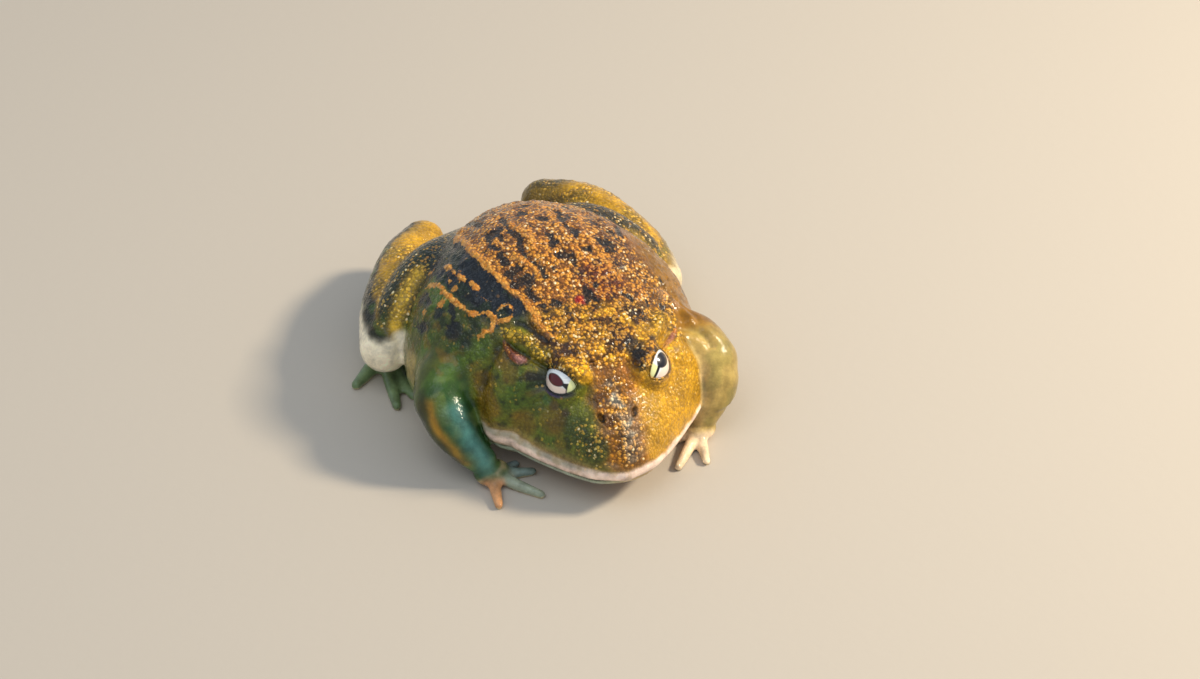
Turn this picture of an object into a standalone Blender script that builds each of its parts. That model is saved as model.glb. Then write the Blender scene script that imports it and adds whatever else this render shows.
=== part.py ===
"""A crouched African bullfrog, life size, as one still model: trunk, head, lower jaw, eyes, eardrums,
and four folded limbs, each in its own solid.

It faces -Y and rests on its belly, palms and soles at Z = 0. The tables below are in millimetres. Each
solid keeps clear of its neighbours by GAP, because it is cut by a slightly grown copy of them.
"""

import math

import bmesh
import bpy
import numpy as np
from mathutils import Matrix, Vector

MM = 0.001
GAP = 0.3  # clearance between touching solids
SIDES = {"right": -1, "left": 1}  # sign of X on each side of the animal

# Trunk: stations from the vent forward to a nose buried in the head.
TRUNK_Y = (67, 64, 57, 46, 30, 12, -6, -20, -32, -38)
TRUNK_X = (1, 1, 1, 0.8, 0.3, 0, 0.5, 4, 6, 6)
TRUNK_HALF_WIDTH = (0, 11, 19.5, 29.5, 40, 47, 45.5, 37.2, 27, 0)
TRUNK_TOP = (20, 27, 36, 45.5, 53, 55.5, 51, 46, 40, 30)
TRUNK_BOTTOM = (16, 9, 2.5, -1.2, -2, -2, -1.6, 0.8, 6, 22)
TRUNK_WIDEST_Z = 17.0
TRUNK_ROUNDNESS = (2.05, 2.6)  # superellipse exponents over and under the widest line
TRUNK_GRID = (22, 28)
WIDEST_SHARE = (0.22, 0.6)  # how low and how high in a section its widest line may lie
RING_EASE = 0.45  # share of the rings' spacing that draws them towards the rounded ends

# Head, in its own frame: s runs forward from the line between the corners of the jaw.
HEAD_CENTRE = (6.8, -25.5)
HEAD_YAW = -3.0  # degrees; the head turns a little to the animal's right
HEAD_S = (-22, -14, -6, 2, 8, 14, 20, 25, 29, 32)
HEAD_HALF_WIDTH = (25, 32.5, 35.2, 34, 30, 24.8, 19.2, 14, 8.6, 0)
HEAD_TOP = (49.5, 48.2, 45.8, 42.4, 38.8, 34.8, 30.4, 26, 21, 13.4)
HEAD_BOTTOM = (8, 5, 3.5, 3, 3, 3.4, 4.2, 5.6, 7.8, 11.4)
HEAD_UPPER_ROUNDNESS = (2.3, 2.35, 2.2, 1.95, 1.8, 1.75, 1.85, 2.0, 2.0, 2.0)
HEAD_LOWER_ROUNDNESS = 2.4
LIP_Z = 13.0
HEAD_GRID = (22, 28)
JAW_INSET = 0.97  # the lower jaw closes just inside the upper lip

# The mouth slit: its height along s, from the corner to the chin.
MOUTH_S = (-5, 6, 16, 25, 40)
MOUTH_Z = (14.8, 12.4, 11.4, 11, 10.8)
MOUTH_SLIT = 0.4
NECK_S = -7.5
NECK_Z = 20.0
NECK_LEAN = 20.0  # degrees; the neck fold leans back towards the nape
CUTTER_REACH = 20.0  # how far below the floor the jaw's cutters go
CUTTER_HALF_WIDTH = 60.0
NECK_CUTTER_SIZE = 140.0

# Places and directions on the head are sideways, forward, up.
EYE_RADIUS = 7.0
EYE_PLACES = {"right": (11.8, 5.9, 33.6), "left": (13.4, 5.9, 33.2)}
EYE_AXIS = (0.68, 0.44, 0.53)
LID_THICKNESS = 1.6
LID_OPENING = (6.8, 5.3, 6.6)  # half length, half height and depth of the slit between the lids
EARDRUM_PLACE = (25.2, -5.8, 37.0)
EARDRUM_AXIS = (0.80, 0.04, 0.58)
EARDRUM_RADIUS = 4.4
EARDRUM_DEPTH = 2.2  # how far the disc reaches into the head
EARDRUM_OVER = 7.0  # how far its cutter reaches out past the skin
EARDRUM_SIDES = 16
NOSTRIL_PLACE = (5.2, 21.5, 28.4)
NOSTRIL_RADIUS = 0.9

# Limb joints as x, y, z and flesh radius, with x outwards from the midline on either side.
HIND = {
    "right": {
        "thigh": ((12, 46, 26, 11.5), (29, 38, 26.5, 12.5), (41, 30, 22.5, 10.5), (48.5, 25, 18, 8)),
        "shank": (
            (50.5, 24, 15, 8.4),
            (46, 34.5, 17, 10),
            (40, 47, 18, 10.2),
            (33.5, 60, 18, 9.2),
            (25, 71, 17, 7.4),
        ),
        "foot": ((25, 71, 8.5, 5.6), (34, 58, 5, 5.6), (43, 44, 4.2, 5.6), (48.5, 35.5, 3.4, 5)),
        "toe_tips": ((37, 28), (39.5, 20), (44.5, 13), (51, 10), (61, 24)),
    },
    "left": {
        "thigh": ((12, 49, 26, 11.5), (25, 42, 27, 12.5), (36, 34, 23.5, 10.5), (41.5, 28.5, 20, 8)),
        "shank": (
            (44, 27.5, 16.5, 8.4),
            (42, 37.5, 18, 10),
            (37.5, 51, 19.5, 10.6),
            (30.5, 65.5, 20.5, 10),
            (19.5, 75.5, 20, 8.2),
        ),
        "foot": ((21, 75, 8.5, 5.6), (30, 62, 5, 5.6), (38.5, 49, 4.2, 5.6), (43.5, 41, 3.4, 5)),
        "toe_tips": ((33, 35), (36, 27), (41, 20), (47.5, 17), (54.5, 28)),
    },
}
FORE = {
    "right": {
        "upper_arm": ((28, -1, 24, 9), (38.2, -7.5, 24.5, 9.8), (42.5, -13.5, 21.5, 8.8)),
        "forearm": (
            (41.8, -14, 20.5, 8.4),
            (40.8, -20, 17, 8),
            (38, -25.5, 11.5, 6.4),
            (34, -30, 7.2, 4.8),
        ),
        "palm": (31.4, -32, 3.2),
        "finger_tips": ((22.5, -28.5), (18.4, -33.5), (18.9, -44.6), (33, -45.2)),
    },
    "left": {
        "upper_arm": ((32, -8, 25.5, 9), (40.8, -15.5, 25, 9.8), (45.4, -21.5, 21.5, 8.6)),
        "forearm": (
            (44.8, -21.5, 20.5, 8.4),
            (45, -26, 16.5, 7.8),
            (43.5, -29.5, 11.5, 6.2),
            (41, -31.5, 7, 4.7),
        ),
        "palm": (38.6, -32.4, 3.2),
        "finger_tips": ((30, -28.5), (25, -34), (26.8, -46.4), (36.4, -46.6)),
    },
}
LIMB_SIDES = 12
DIGIT_SIDES = 8
DOME_ANGLES = (42, 75)  # degrees; the two rings that round off the end of a limb
WELD = 0.02
PALM_RADII = (6.0, 5.4, 3.4)
FINGER_RADII = (2.2, 1.85, 1.3)
TOE_RADII = (2.9, 2.4, 1.6)
KNUCKLE_SHARE = 0.55  # place of the middle joint along a finger or toe
KNUCKLE_RISE = 0.4
FINGER_HEIGHTS = (2.6, 1.1)  # height over the floor at the knuckles and at the tip
TOE_HEIGHTS = (3.0, 1.3)
WEB_REACH = 0.5  # share of each toe that the web covers
WEB_DIP = 0.86  # how far the web's edge reaches between two toes, as a share of its reach on them
WEB_THICKNESS = 1.4
WEB_HEEL = 0.2  # how far the web reaches back over the sole, as a share of the toes' reach
SPADE_RADII = (1.9, 4.2, 1.9)  # the hard digging ridge on the inner edge of the sole
SPADE_SHIFT = (2.2, 3.4, 1.9)
SPADE_TURN = 30.0
SPADE_SHARE = 0.35  # its place on the way from the ball of the foot to the first toe's tip

COLOURS = {
    "skin": (0.30, 0.27, 0.07, 1),
    "pale_skin": (0.66, 0.55, 0.38, 1),
    "eye": (0.72, 0.66, 0.45, 1),
}
ROUGHNESS = {"skin": 0.35, "pale_skin": 0.4, "eye": 0.1}
SHARP_ANGLE = 50.0


def new_collection(name):
    made = bpy.data.collections.new(name)
    bpy.context.scene.collection.children.link(made)
    return made


def material(name):
    made = bpy.data.materials.new(name)
    made.use_nodes = True
    shader = made.node_tree.nodes["Principled BSDF"]
    shader.inputs["Base Color"].default_value = COLOURS[name]
    shader.inputs["Roughness"].default_value = ROUGHNESS[name]
    return made


def along(stations, values, t):
    """Smooth value at t in 0 to 1 along the stations, by cubic Hermite pieces between them."""
    x = np.asarray(stations, float)
    y = np.asarray(values, float)
    u = (x - x[0]) / (x[-1] - x[0])
    slope = np.gradient(y, u)
    i = np.clip(np.searchsorted(u, t) - 1, 0, len(u) - 2)
    h = u[i + 1] - u[i]
    k = (t - u[i]) / h
    return (
        (2 * k**3 - 3 * k**2 + 1) * y[i]
        + (k**3 - 2 * k**2 + k) * h * slope[i]
        + (3 * k**2 - 2 * k**3) * y[i + 1]
        + (k**3 - k**2) * h * slope[i + 1]
    )


def ring_spacing(count):
    """Places of the rings from 0 to 1, closer together towards both rounded ends."""
    even = np.linspace(0, 1, count)
    eased = (1 - np.cos(math.pi * even)) / 2
    return (1 - RING_EASE) * even + RING_EASE * eased


def head_to_model(sideways, forward, up):
    """A point of the head's frame, in the model's frame, in millimetres."""
    yaw = math.radians(HEAD_YAW)
    x = HEAD_CENTRE[0] + sideways * math.cos(yaw) + forward * math.sin(yaw)
    y = HEAD_CENTRE[1] + sideways * math.sin(yaw) - forward * math.cos(yaw)
    return Vector((x, y, up))


def new_object(name, shape, collection):
    """An object with the bmesh's faces, all turned outwards."""
    bmesh.ops.recalc_face_normals(shape, faces=shape.faces)
    mesh = bpy.data.meshes.new(name)
    shape.to_mesh(mesh)
    shape.free()
    made = bpy.data.objects.new(name, mesh)
    collection.objects.link(made)
    return made


def pressed_flat(shape):
    """Presses what is under the floor flat onto it."""
    for vertex in shape.verts:
        vertex.co.z = max(vertex.co.z, 0.0)
    return shape


def body_rings(stations, half_width, top, bottom, widest_z, upper_power, lower_power, grid):
    """Rings of sections that are superellipses, of one exponent over the widest line and one under it."""
    count, sides = grid
    t = ring_spacing(count)[:, None]
    width = np.maximum(along(stations, half_width, t), 0)
    high, low = along(stations, top, t), along(stations, bottom, t)
    lowest, highest = (low + share * (high - low) for share in WIDEST_SHARE)
    middle = np.clip(widest_z, lowest, highest)
    upper_power = along(stations, upper_power, t) if np.ndim(upper_power) else upper_power
    angle = np.linspace(0, 2 * math.pi, sides, endpoint=False)[None, :]
    c, s = np.cos(angle), np.sin(angle)
    over = s >= 0
    power = np.where(over, upper_power, lower_power)
    rings = np.zeros((count, sides, 3))
    rings[..., 0] = width * np.sign(c) * np.abs(c) ** (2 / power)
    rings[..., 1] = stations[0] + (stations[-1] - stations[0]) * t
    reach = np.where(over, high - middle, middle - low)
    rings[..., 2] = middle + reach * np.sign(s) * np.abs(s) ** (2 / power)
    return rings


def lofted(name, rings, collection):
    """A closed loft through rings of equal count; the first and the last ring shrink to points."""
    shape = bmesh.new()
    first = shape.verts.new(rings[0].mean(axis=0) * MM)
    last = shape.verts.new(rings[-1].mean(axis=0) * MM)
    hoops = [[shape.verts.new(point * MM) for point in ring] for ring in rings[1:-1]]
    sides = len(hoops[0])
    for side in range(sides):
        after = (side + 1) % sides
        shape.faces.new((first, hoops[0][side], hoops[0][after]))
        shape.faces.new((last, hoops[-1][after], hoops[-1][side]))
        for low, high in zip(hoops, hoops[1:]):
            shape.faces.new((low[side], high[side], high[after], low[after]))
    return new_object(name, pressed_flat(shape), collection)


def make_trunk(collection):
    rings = body_rings(
        TRUNK_Y, TRUNK_HALF_WIDTH, TRUNK_TOP, TRUNK_BOTTOM, TRUNK_WIDEST_Z, *TRUNK_ROUNDNESS, TRUNK_GRID
    )
    rings[..., 0] += along(TRUNK_Y, TRUNK_X, ring_spacing(TRUNK_GRID[0]))[:, None]
    return lofted("trunk", rings, collection)


def make_whole_head(name, inset, collection):
    """The head with its throat and closed mouth; an inset under 1 draws its outline in."""
    rings = body_rings(
        HEAD_S,
        HEAD_HALF_WIDTH,
        HEAD_TOP,
        HEAD_BOTTOM,
        LIP_Z,
        HEAD_UPPER_ROUNDNESS,
        HEAD_LOWER_ROUNDNESS,
        HEAD_GRID,
    )
    for ring in rings:
        ring[:] = [head_to_model(x * inset, s * inset, z) for x, s, z in ring]
    return lofted(name, rings, collection)


def fleshy_tube(name, joints, sides, collection):
    """A limb segment: a smooth curve through the joints with its flesh radius, and domed ends."""
    joints = np.asarray(joints, float)
    ends = np.linspace(0, 1, len(joints))
    t = np.linspace(0, 1, 2 * len(joints) - 1)
    path = np.column_stack([along(ends, joints[:, k], t) for k in range(4)])

    def dome(end, inner, steepness):
        outward = (end - inner)[:3] / np.linalg.norm((end - inner)[:3])
        turn = math.radians(steepness)
        return (*(end[:3] + outward * end[3] * math.sin(turn)), end[3] * math.cos(turn))

    start = [dome(path[0], path[1], steepness) for steepness in reversed(DOME_ANGLES)]
    finish = [dome(path[-1], path[-2], steepness) for steepness in DOME_ANGLES]
    points = [*start, *path, *finish]
    curve = bpy.data.curves.new(name + "_path", "CURVE")
    curve.dimensions = "3D"
    curve.bevel_depth = MM
    curve.bevel_resolution = (sides - 4) // 2
    curve.use_fill_caps = True
    spline = curve.splines.new("POLY")
    spline.points.add(len(points) - 1)
    for target, (x, y, z, radius) in zip(spline.points, points):
        target.co = (x * MM, y * MM, z * MM, 1)
        target.radius = radius
    guide = bpy.data.objects.new(name + "_path", curve)
    collection.objects.link(guide)
    graph = bpy.context.evaluated_depsgraph_get()
    mesh = bpy.data.meshes.new_from_object(guide.evaluated_get(graph))
    bpy.data.objects.remove(guide)
    shape = bmesh.new()
    shape.from_mesh(mesh)
    bpy.data.meshes.remove(mesh)
    bmesh.ops.remove_doubles(shape, verts=shape.verts, dist=WELD * MM)
    return new_object(name, pressed_flat(shape), collection)


def ellipsoid(name, centre, radii, collection, turn=Matrix.Identity(3), grid=(14, 8)):
    """A ball of three radii about centre, in millimetres; turn is its rotation."""
    shape = bmesh.new()
    bmesh.ops.create_uvsphere(shape, u_segments=grid[0], v_segments=grid[1], radius=MM)
    place = Matrix.Translation(Vector(centre) * MM) @ turn.to_4x4() @ Matrix.Diagonal((*radii, 1))
    bmesh.ops.transform(shape, matrix=place, verts=shape.verts)
    return new_object(name, pressed_flat(shape), collection)


def looking(axis, sign):
    """Rotation whose Z is a direction of the head's frame, and whose X lies level along the head."""
    z = (head_to_model(axis[0] * sign, axis[1], axis[2]) - head_to_model(0, 0, 0)).normalized()
    x = Vector((0, 0, 1)).cross(z).normalized()
    return Matrix((x, z.cross(x), z)).transposed()


def prism(name, outline, half_width, collection):
    """The outline, as forward and up in the head's frame, drawn out sideways by half_width each way."""
    shape = bmesh.new()
    shape.faces.new([shape.verts.new(head_to_model(-half_width, s, z) * MM) for s, z in outline])
    drawn = bmesh.ops.extrude_face_region(shape, geom=shape.faces[:])
    across = (head_to_model(2 * half_width, 0, 0) - head_to_model(0, 0, 0)) * MM
    moved = [v for v in drawn["geom"] if isinstance(v, bmesh.types.BMVert)]
    bmesh.ops.translate(shape, vec=across, verts=moved)
    return new_object(name, shape, collection)


def boolean(obj, others, operation):
    for other in others:
        step = obj.modifiers.new(f"{operation.lower()} {other.name}", "BOOLEAN")
        step.operation = operation
        step.object = other
        step.solver = "EXACT"


def settled(obj):
    """Replaces the object's mesh by what its modifiers make of it."""
    graph = bpy.context.evaluated_depsgraph_get()
    mesh = bpy.data.meshes.new_from_object(obj.evaluated_get(graph))
    obj.modifiers.clear()
    obj.data = mesh
    return obj


def largest_body(obj):
    """Settles the object and drops any sliver that a cut left loose beside its main body."""
    shape = bmesh.new()
    shape.from_mesh(settled(obj).data)
    waiting = set(shape.verts)
    bodies = []
    while waiting:
        body, front = set(), [waiting.pop()]
        while front:
            vertex = front.pop()
            body.add(vertex)
            reached = {edge.other_vert(vertex) for edge in vertex.link_edges} & waiting
            waiting -= reached
            front += reached
        bodies.append(body)
    bodies.sort(key=len)
    for sliver in bodies[:-1]:
        bmesh.ops.delete(shape, geom=list(sliver), context="VERTS")
    shape.to_mesh(obj.data)
    shape.free()


def grown(obj, tools):
    """A copy of the object, larger by the clearance all round, to cut its neighbours with."""
    copy = obj.copy()
    copy.data = obj.data.copy()
    copy.name = obj.name + "_clearance"
    tools.objects.link(copy)
    swell = copy.modifiers.new("clearance", "DISPLACE")
    swell.strength = GAP * MM
    swell.mid_level = 0
    return copy


def outward(sign, points):
    """Joint tables hold x outwards; this gives x in the model's frame."""
    return [(sign * p[0], *p[1:]) for p in points]


def make_digits(name, root, tips, radii, heights, collection):
    """Blunt fingers or toes, from a shared root to each tip, pressed onto the floor."""
    made = []
    for n, tip in enumerate(tips, start=1):
        start = Vector((*root, heights[0]))
        end = Vector((*tip, heights[1]))
        middle = start.lerp(end, KNUCKLE_SHARE)
        middle.z = heights[1] + KNUCKLE_RISE
        joints = [(*start, radii[0]), (*middle, radii[1]), (*end, radii[2])]
        made.append(fleshy_tube(f"{name}_digit_{n}", joints, DIGIT_SIDES, collection))
    return made


def make_web(name, root, tips, collection):
    """The skin between the toes: a low plate whose edge dips between one toe and the next."""
    root = Vector((*root, 0))
    reach = [root.lerp(Vector((*tip, 0)), WEB_REACH) for tip in tips]
    edge = [reach[0]]
    for one, other in zip(reach, reach[1:]):
        edge += [root.lerp((one + other) / 2, WEB_DIP), other]
    heel = root + (root - (reach[0] + reach[-1]) / 2) * WEB_HEEL
    shape = bmesh.new()
    shape.faces.new([shape.verts.new(p * MM) for p in (heel, *edge)])
    drawn = bmesh.ops.extrude_face_region(shape, geom=shape.faces[:])
    moved = [v for v in drawn["geom"] if isinstance(v, bmesh.types.BMVert)]
    bmesh.ops.translate(shape, vec=(0, 0, WEB_THICKNESS * MM), verts=moved)
    bmesh.ops.triangulate(shape, faces=[f for f in shape.faces if len(f.verts) > 4])
    return new_object(name, shape, collection)


def joined(whole, others):
    """Makes one solid of overlapping shapes, in the first one's object."""
    boolean(whole, others, "UNION")
    settled(whole)
    for shape in others:
        bpy.data.objects.remove(shape)
    return whole


def make_head_and_jaw(parts, tools):
    """The upper head with lids, eye sockets and nostrils, the lower jaw under its slit, and both eyes."""
    head = make_whole_head("head", 1.0, parts)
    jaw = make_whole_head("lower_jaw", JAW_INSET, parts)
    slit = [(s, z - MOUTH_SLIT / 2) for s, z in zip(MOUTH_S, MOUTH_Z)]
    room = [(s - GAP, z + MOUTH_SLIT) for s, z in slit]
    slit += [(MOUTH_S[-1], -CUTTER_REACH), (MOUTH_S[0], -CUTTER_REACH)]
    room += [(MOUTH_S[-1], -CUTTER_REACH), (MOUTH_S[0] - GAP, -CUTTER_REACH)]
    boolean(jaw, [prism("jaw_block", slit, CUTTER_HALF_WIDTH, tools)], "INTERSECT")
    boolean(head, [prism("jaw_room", room, CUTTER_HALF_WIDTH, tools)], "DIFFERENCE")
    for side, sign in SIDES.items():
        outwards, forward, up = EYE_PLACES[side]
        centre = head_to_model(outwards * sign, forward, up)
        turn = looking(EYE_AXIS, sign)
        lid = EYE_RADIUS + LID_THICKNESS
        socket = EYE_RADIUS + GAP
        slit_centre = centre + turn @ Vector((0, 0, lid))
        nostril = head_to_model(NOSTRIL_PLACE[0] * sign, *NOSTRIL_PLACE[1:])
        cutters = [
            ellipsoid(f"socket_{side}", centre, (socket,) * 3, tools),
            ellipsoid(f"lid_slit_{side}", slit_centre, LID_OPENING, tools, turn),
            ellipsoid(f"nostril_{side}", nostril, (NOSTRIL_RADIUS,) * 3, tools, grid=(10, 6)),
        ]
        boolean(head, [ellipsoid(f"lid_{side}", centre, (lid,) * 3, tools)], "UNION")
        boolean(head, cutters, "DIFFERENCE")
        ellipsoid(f"eye_{side}", centre, (EYE_RADIUS,) * 3, parts, turn)
    return head, jaw


def eardrum_plug(name, sign, radius, depth, collection):
    """A round plug from depth under the skin to well past it, square to the side of the head."""
    length = depth + EARDRUM_OVER
    shape = bmesh.new()
    round_about = {"segments": EARDRUM_SIDES, "radius1": radius * MM, "radius2": radius * MM}
    bmesh.ops.create_cone(shape, cap_ends=True, depth=length * MM, **round_about)
    place = Matrix.Translation(head_to_model(EARDRUM_PLACE[0] * sign, *EARDRUM_PLACE[1:]) * MM)
    outwards = Matrix.Translation((0, 0, (EARDRUM_OVER - depth) / 2 * MM))
    fitted = place @ looking(EARDRUM_AXIS, sign).to_4x4() @ outwards
    bmesh.ops.transform(shape, matrix=fitted, verts=shape.verts)
    return new_object(name, shape, collection)


def make_eardrum(side, sign, head, parts, tools):
    """A disc let into the side of the head, its face flush with the skin round it."""
    drum = eardrum_plug(f"eardrum_{side}", sign, EARDRUM_RADIUS, EARDRUM_DEPTH, parts)
    seat = eardrum_plug(f"eardrum_seat_{side}", sign, EARDRUM_RADIUS + GAP, EARDRUM_DEPTH + GAP, tools)
    boolean(drum, [head], "INTERSECT")
    settled(drum)
    boolean(head, [seat], "DIFFERENCE")


def neck_block(name, forward, side_of_fold, tools):
    """A large box that ends at the neck fold: side_of_fold is 1 behind the fold and -1 before it."""
    shape = bmesh.new()
    bmesh.ops.create_cube(shape, size=NECK_CUTTER_SIZE * MM)
    fold = Matrix.Translation(head_to_model(0, forward, NECK_Z) * MM)
    yaw = Matrix.Rotation(math.radians(HEAD_YAW), 4, "Z")
    lean = Matrix.Rotation(math.radians(-NECK_LEAN), 4, "X")
    reach = Matrix.Translation((0, side_of_fold * NECK_CUTTER_SIZE / 2 * MM, 0))
    bmesh.ops.transform(shape, matrix=fold @ yaw @ lean @ reach, verts=shape.verts)
    return new_object(name, shape, tools)


def make_hind_limb(side, sign, neighbours, parts, tools):
    """Thigh, shank, and a foot whose sole lies under the shank and whose toes point forward."""
    joints = HIND[side]
    shank = fleshy_tube(f"shank_{side}", outward(sign, joints["shank"]), LIMB_SIDES, parts)
    thigh = fleshy_tube(f"thigh_{side}", outward(sign, joints["thigh"]), LIMB_SIDES, parts)
    name = f"foot_{side}"
    sole = fleshy_tube(name, outward(sign, joints["foot"]), LIMB_SIDES, parts)
    root = (sign * joints["foot"][-1][0], joints["foot"][-1][1])
    tips = outward(sign, joints["toe_tips"])
    toes = make_digits(name, root, tips, TOE_RADII, TOE_HEIGHTS, parts)
    web = make_web(f"{name}_web", root, tips, parts)
    inner = Vector(root).lerp(Vector(tips[0]), SPADE_SHARE)
    spade = ellipsoid(
        f"{name}_spade",
        (inner.x - sign * SPADE_SHIFT[0], inner.y + SPADE_SHIFT[1], SPADE_SHIFT[2]),
        SPADE_RADII,
        parts,
        Matrix.Rotation(-sign * math.radians(SPADE_TURN), 3, "Z"),
        grid=(10, 6),
    )
    foot = joined(sole, [*toes, web, spade])
    shank_clear = grown(shank, tools)
    thigh_clear = grown(thigh, tools)
    boolean(shank, neighbours, "DIFFERENCE")
    boolean(thigh, [*neighbours, shank_clear], "DIFFERENCE")
    boolean(foot, [*neighbours, shank_clear, thigh_clear], "DIFFERENCE")
    for segment in (shank, thigh, foot):
        largest_body(segment)


def make_fore_limb(side, sign, neighbours, parts, tools):
    """Upper arm, forearm, and a hand with four fingers."""
    joints = FORE[side]
    upper = fleshy_tube(f"upper_arm_{side}", outward(sign, joints["upper_arm"]), LIMB_SIDES, parts)
    forearm = fleshy_tube(f"forearm_{side}", outward(sign, joints["forearm"]), LIMB_SIDES, parts)
    name = f"hand_{side}"
    palm = (sign * joints["palm"][0], *joints["palm"][1:])
    tips = outward(sign, joints["finger_tips"])
    fingers = make_digits(name, palm[:2], tips, FINGER_RADII, FINGER_HEIGHTS, parts)
    hand = joined(ellipsoid(name, palm, PALM_RADII, parts), fingers)
    forearm_clear = grown(forearm, tools)
    boolean(forearm, neighbours, "DIFFERENCE")
    boolean(upper, [*neighbours, forearm_clear], "DIFFERENCE")
    boolean(hand, [*neighbours, forearm_clear], "DIFFERENCE")
    for segment in (forearm, upper, hand):
        largest_body(segment)


def finish(parts, tools):
    """Hides the cutters, gives each solid its colour, and shades the flesh smooth."""
    skin, pale_skin, eye = material("skin"), material("pale_skin"), material("eye")
    for obj in tools.objects:
        obj.hide_render = True
        obj.display_type = "WIRE"
    for obj in parts.objects:
        obj.data.materials.clear()
        if obj.name.startswith("eye_"):
            obj.data.materials.append(eye)
        elif obj.name.startswith(("lower_jaw", "hand_", "foot_")):
            obj.data.materials.append(pale_skin)
        else:
            obj.data.materials.append(skin)
        obj.data.shade_smooth()
        obj.data.set_sharp_from_angle(angle=math.radians(SHARP_ANGLE))


def centre_on_floor(parts):
    """Moves the whole animal sideways so that the middle of its box is over the origin."""
    bpy.context.view_layer.update()
    graph = bpy.context.evaluated_depsgraph_get()
    corners = np.array([corner for obj in parts.objects for corner in obj.evaluated_get(graph).bound_box])
    middle = (corners.min(axis=0) + corners.max(axis=0)) / 2
    for obj in bpy.data.objects:
        obj.location -= Vector((middle[0], middle[1], 0))


def main():
    for obj in list(bpy.data.objects):
        bpy.data.objects.remove(obj)
    parts, tools = new_collection("bullfrog"), new_collection("cutters")
    trunk = make_trunk(parts)
    head, jaw = make_head_and_jaw(parts, tools)
    limb_room = [grown(trunk, tools), grown(make_whole_head("head_outline", 1.0, tools), tools)]
    behind_neck = neck_block("behind_neck", NECK_S, 1, tools)
    before_neck = neck_block("before_neck", NECK_S - GAP, -1, tools)
    boolean(head, [behind_neck], "DIFFERENCE")
    boolean(jaw, [behind_neck], "DIFFERENCE")
    boolean(trunk, [before_neck], "DIFFERENCE")
    settled(head)
    for side, sign in SIDES.items():
        make_eardrum(side, sign, head, parts, tools)
        make_hind_limb(side, sign, limb_room[:1], parts, tools)
        make_fore_limb(side, sign, limb_room, parts, tools)
    finish(parts, tools)
    centre_on_floor(parts)


main()
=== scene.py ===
"""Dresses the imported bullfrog: one wet, granular skin over the flesh, two eyeballs, and a small studio.

Everything is worked out in millimetres in the frame of the part's own tables, then moved by the shift that
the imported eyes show, and written in metres.
"""

import math

import bpy
import numpy as np
from bpy.props import FloatProperty, FloatVectorProperty, PointerProperty
from mathutils import Matrix, Vector


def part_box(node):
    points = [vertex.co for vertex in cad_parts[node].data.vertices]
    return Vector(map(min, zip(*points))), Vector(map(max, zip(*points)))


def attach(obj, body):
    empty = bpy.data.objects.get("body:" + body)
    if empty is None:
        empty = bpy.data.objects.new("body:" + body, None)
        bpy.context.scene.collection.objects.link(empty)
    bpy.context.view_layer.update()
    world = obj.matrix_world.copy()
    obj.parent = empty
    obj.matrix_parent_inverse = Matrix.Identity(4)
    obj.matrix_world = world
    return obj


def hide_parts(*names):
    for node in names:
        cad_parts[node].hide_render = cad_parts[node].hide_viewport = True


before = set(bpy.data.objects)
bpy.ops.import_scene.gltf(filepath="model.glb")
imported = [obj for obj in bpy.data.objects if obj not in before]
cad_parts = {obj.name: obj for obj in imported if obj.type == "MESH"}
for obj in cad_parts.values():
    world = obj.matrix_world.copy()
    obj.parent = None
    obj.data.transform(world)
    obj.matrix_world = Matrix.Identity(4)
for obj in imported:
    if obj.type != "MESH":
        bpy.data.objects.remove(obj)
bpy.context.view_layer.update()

bl_info = {
    "name": "Bullfrog dresser",
    "version": (1, 0, 0),
    "blender": (4, 5, 0),
    "location": "View3D > Sidebar > Bullfrog",
    "description": "Skin, eyes and a small studio for a life-size African bullfrog",
    "category": "Object",
}

MM = 0.001
SIDES = {"right": -1, "left": 1}  # sign of X on each side of the animal

# Trunk: stations from the vent forward.
TRUNK_Y = (67, 64, 57, 46, 30, 12, -6, -20, -32, -38)
TRUNK_X = (1, 1, 1, 0.8, 0.3, 0, 0.5, 4, 6, 6)
TRUNK_HALF_WIDTH = (0, 11, 19.5, 29.5, 40, 47, 45.5, 37.2, 27, 0)
TRUNK_TOP = (20, 27, 36, 45.5, 53, 55.5, 51, 46, 40, 30)
TRUNK_BOTTOM = (16, 9, 2.5, -1.2, -2, -2, -1.6, 0.8, 6, 22)
TRUNK_WIDEST_Z = 17.0
TRUNK_ROUNDNESS = (2.05, 2.6)
WIDEST_SHARE = (0.22, 0.6)  # how low and how high in a section its widest line may lie
RING_EASE = 0.45

# Head: forward along its own axis from the line between the corners of the jaw.
HEAD_CENTRE = (6.8, -25.5)
HEAD_YAW = -3.0
HEAD_S = (-22, -14, -6, 2, 8, 14, 20, 25, 29, 32)
HEAD_HALF_WIDTH = (25, 32.5, 35.2, 34, 30, 24.8, 19.2, 14, 8.6, 0)
HEAD_TOP = (49.5, 48.2, 45.8, 42.4, 38.8, 34.8, 30.4, 26, 21, 13.4)
HEAD_BOTTOM = (8, 5, 3.5, 3, 3, 3.4, 4.2, 5.6, 7.8, 11.4)
HEAD_UPPER_ROUNDNESS = (2.3, 2.35, 2.2, 1.95, 1.8, 1.75, 1.85, 2.0, 2.0, 2.0)
HEAD_LOWER_ROUNDNESS = 2.4
LIP_Z = 13.0
MOUTH_S = (-5, 6, 16, 25, 40)
# Height of the mouth slit and of the lip over it, on the left and on the right side.
MOUTH_Z = {1: (14.8, 12.4, 11.4, 11, 10.8), -1: (12.8, 10.9, 10.5, 10.7, 10.8)}
LIP_WIDTHS = {1: (1.6, 2.2, 2.5, 3.4, 4.2), -1: (6.2, 6.4, 4.7, 4.1, 4.2)}

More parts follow.
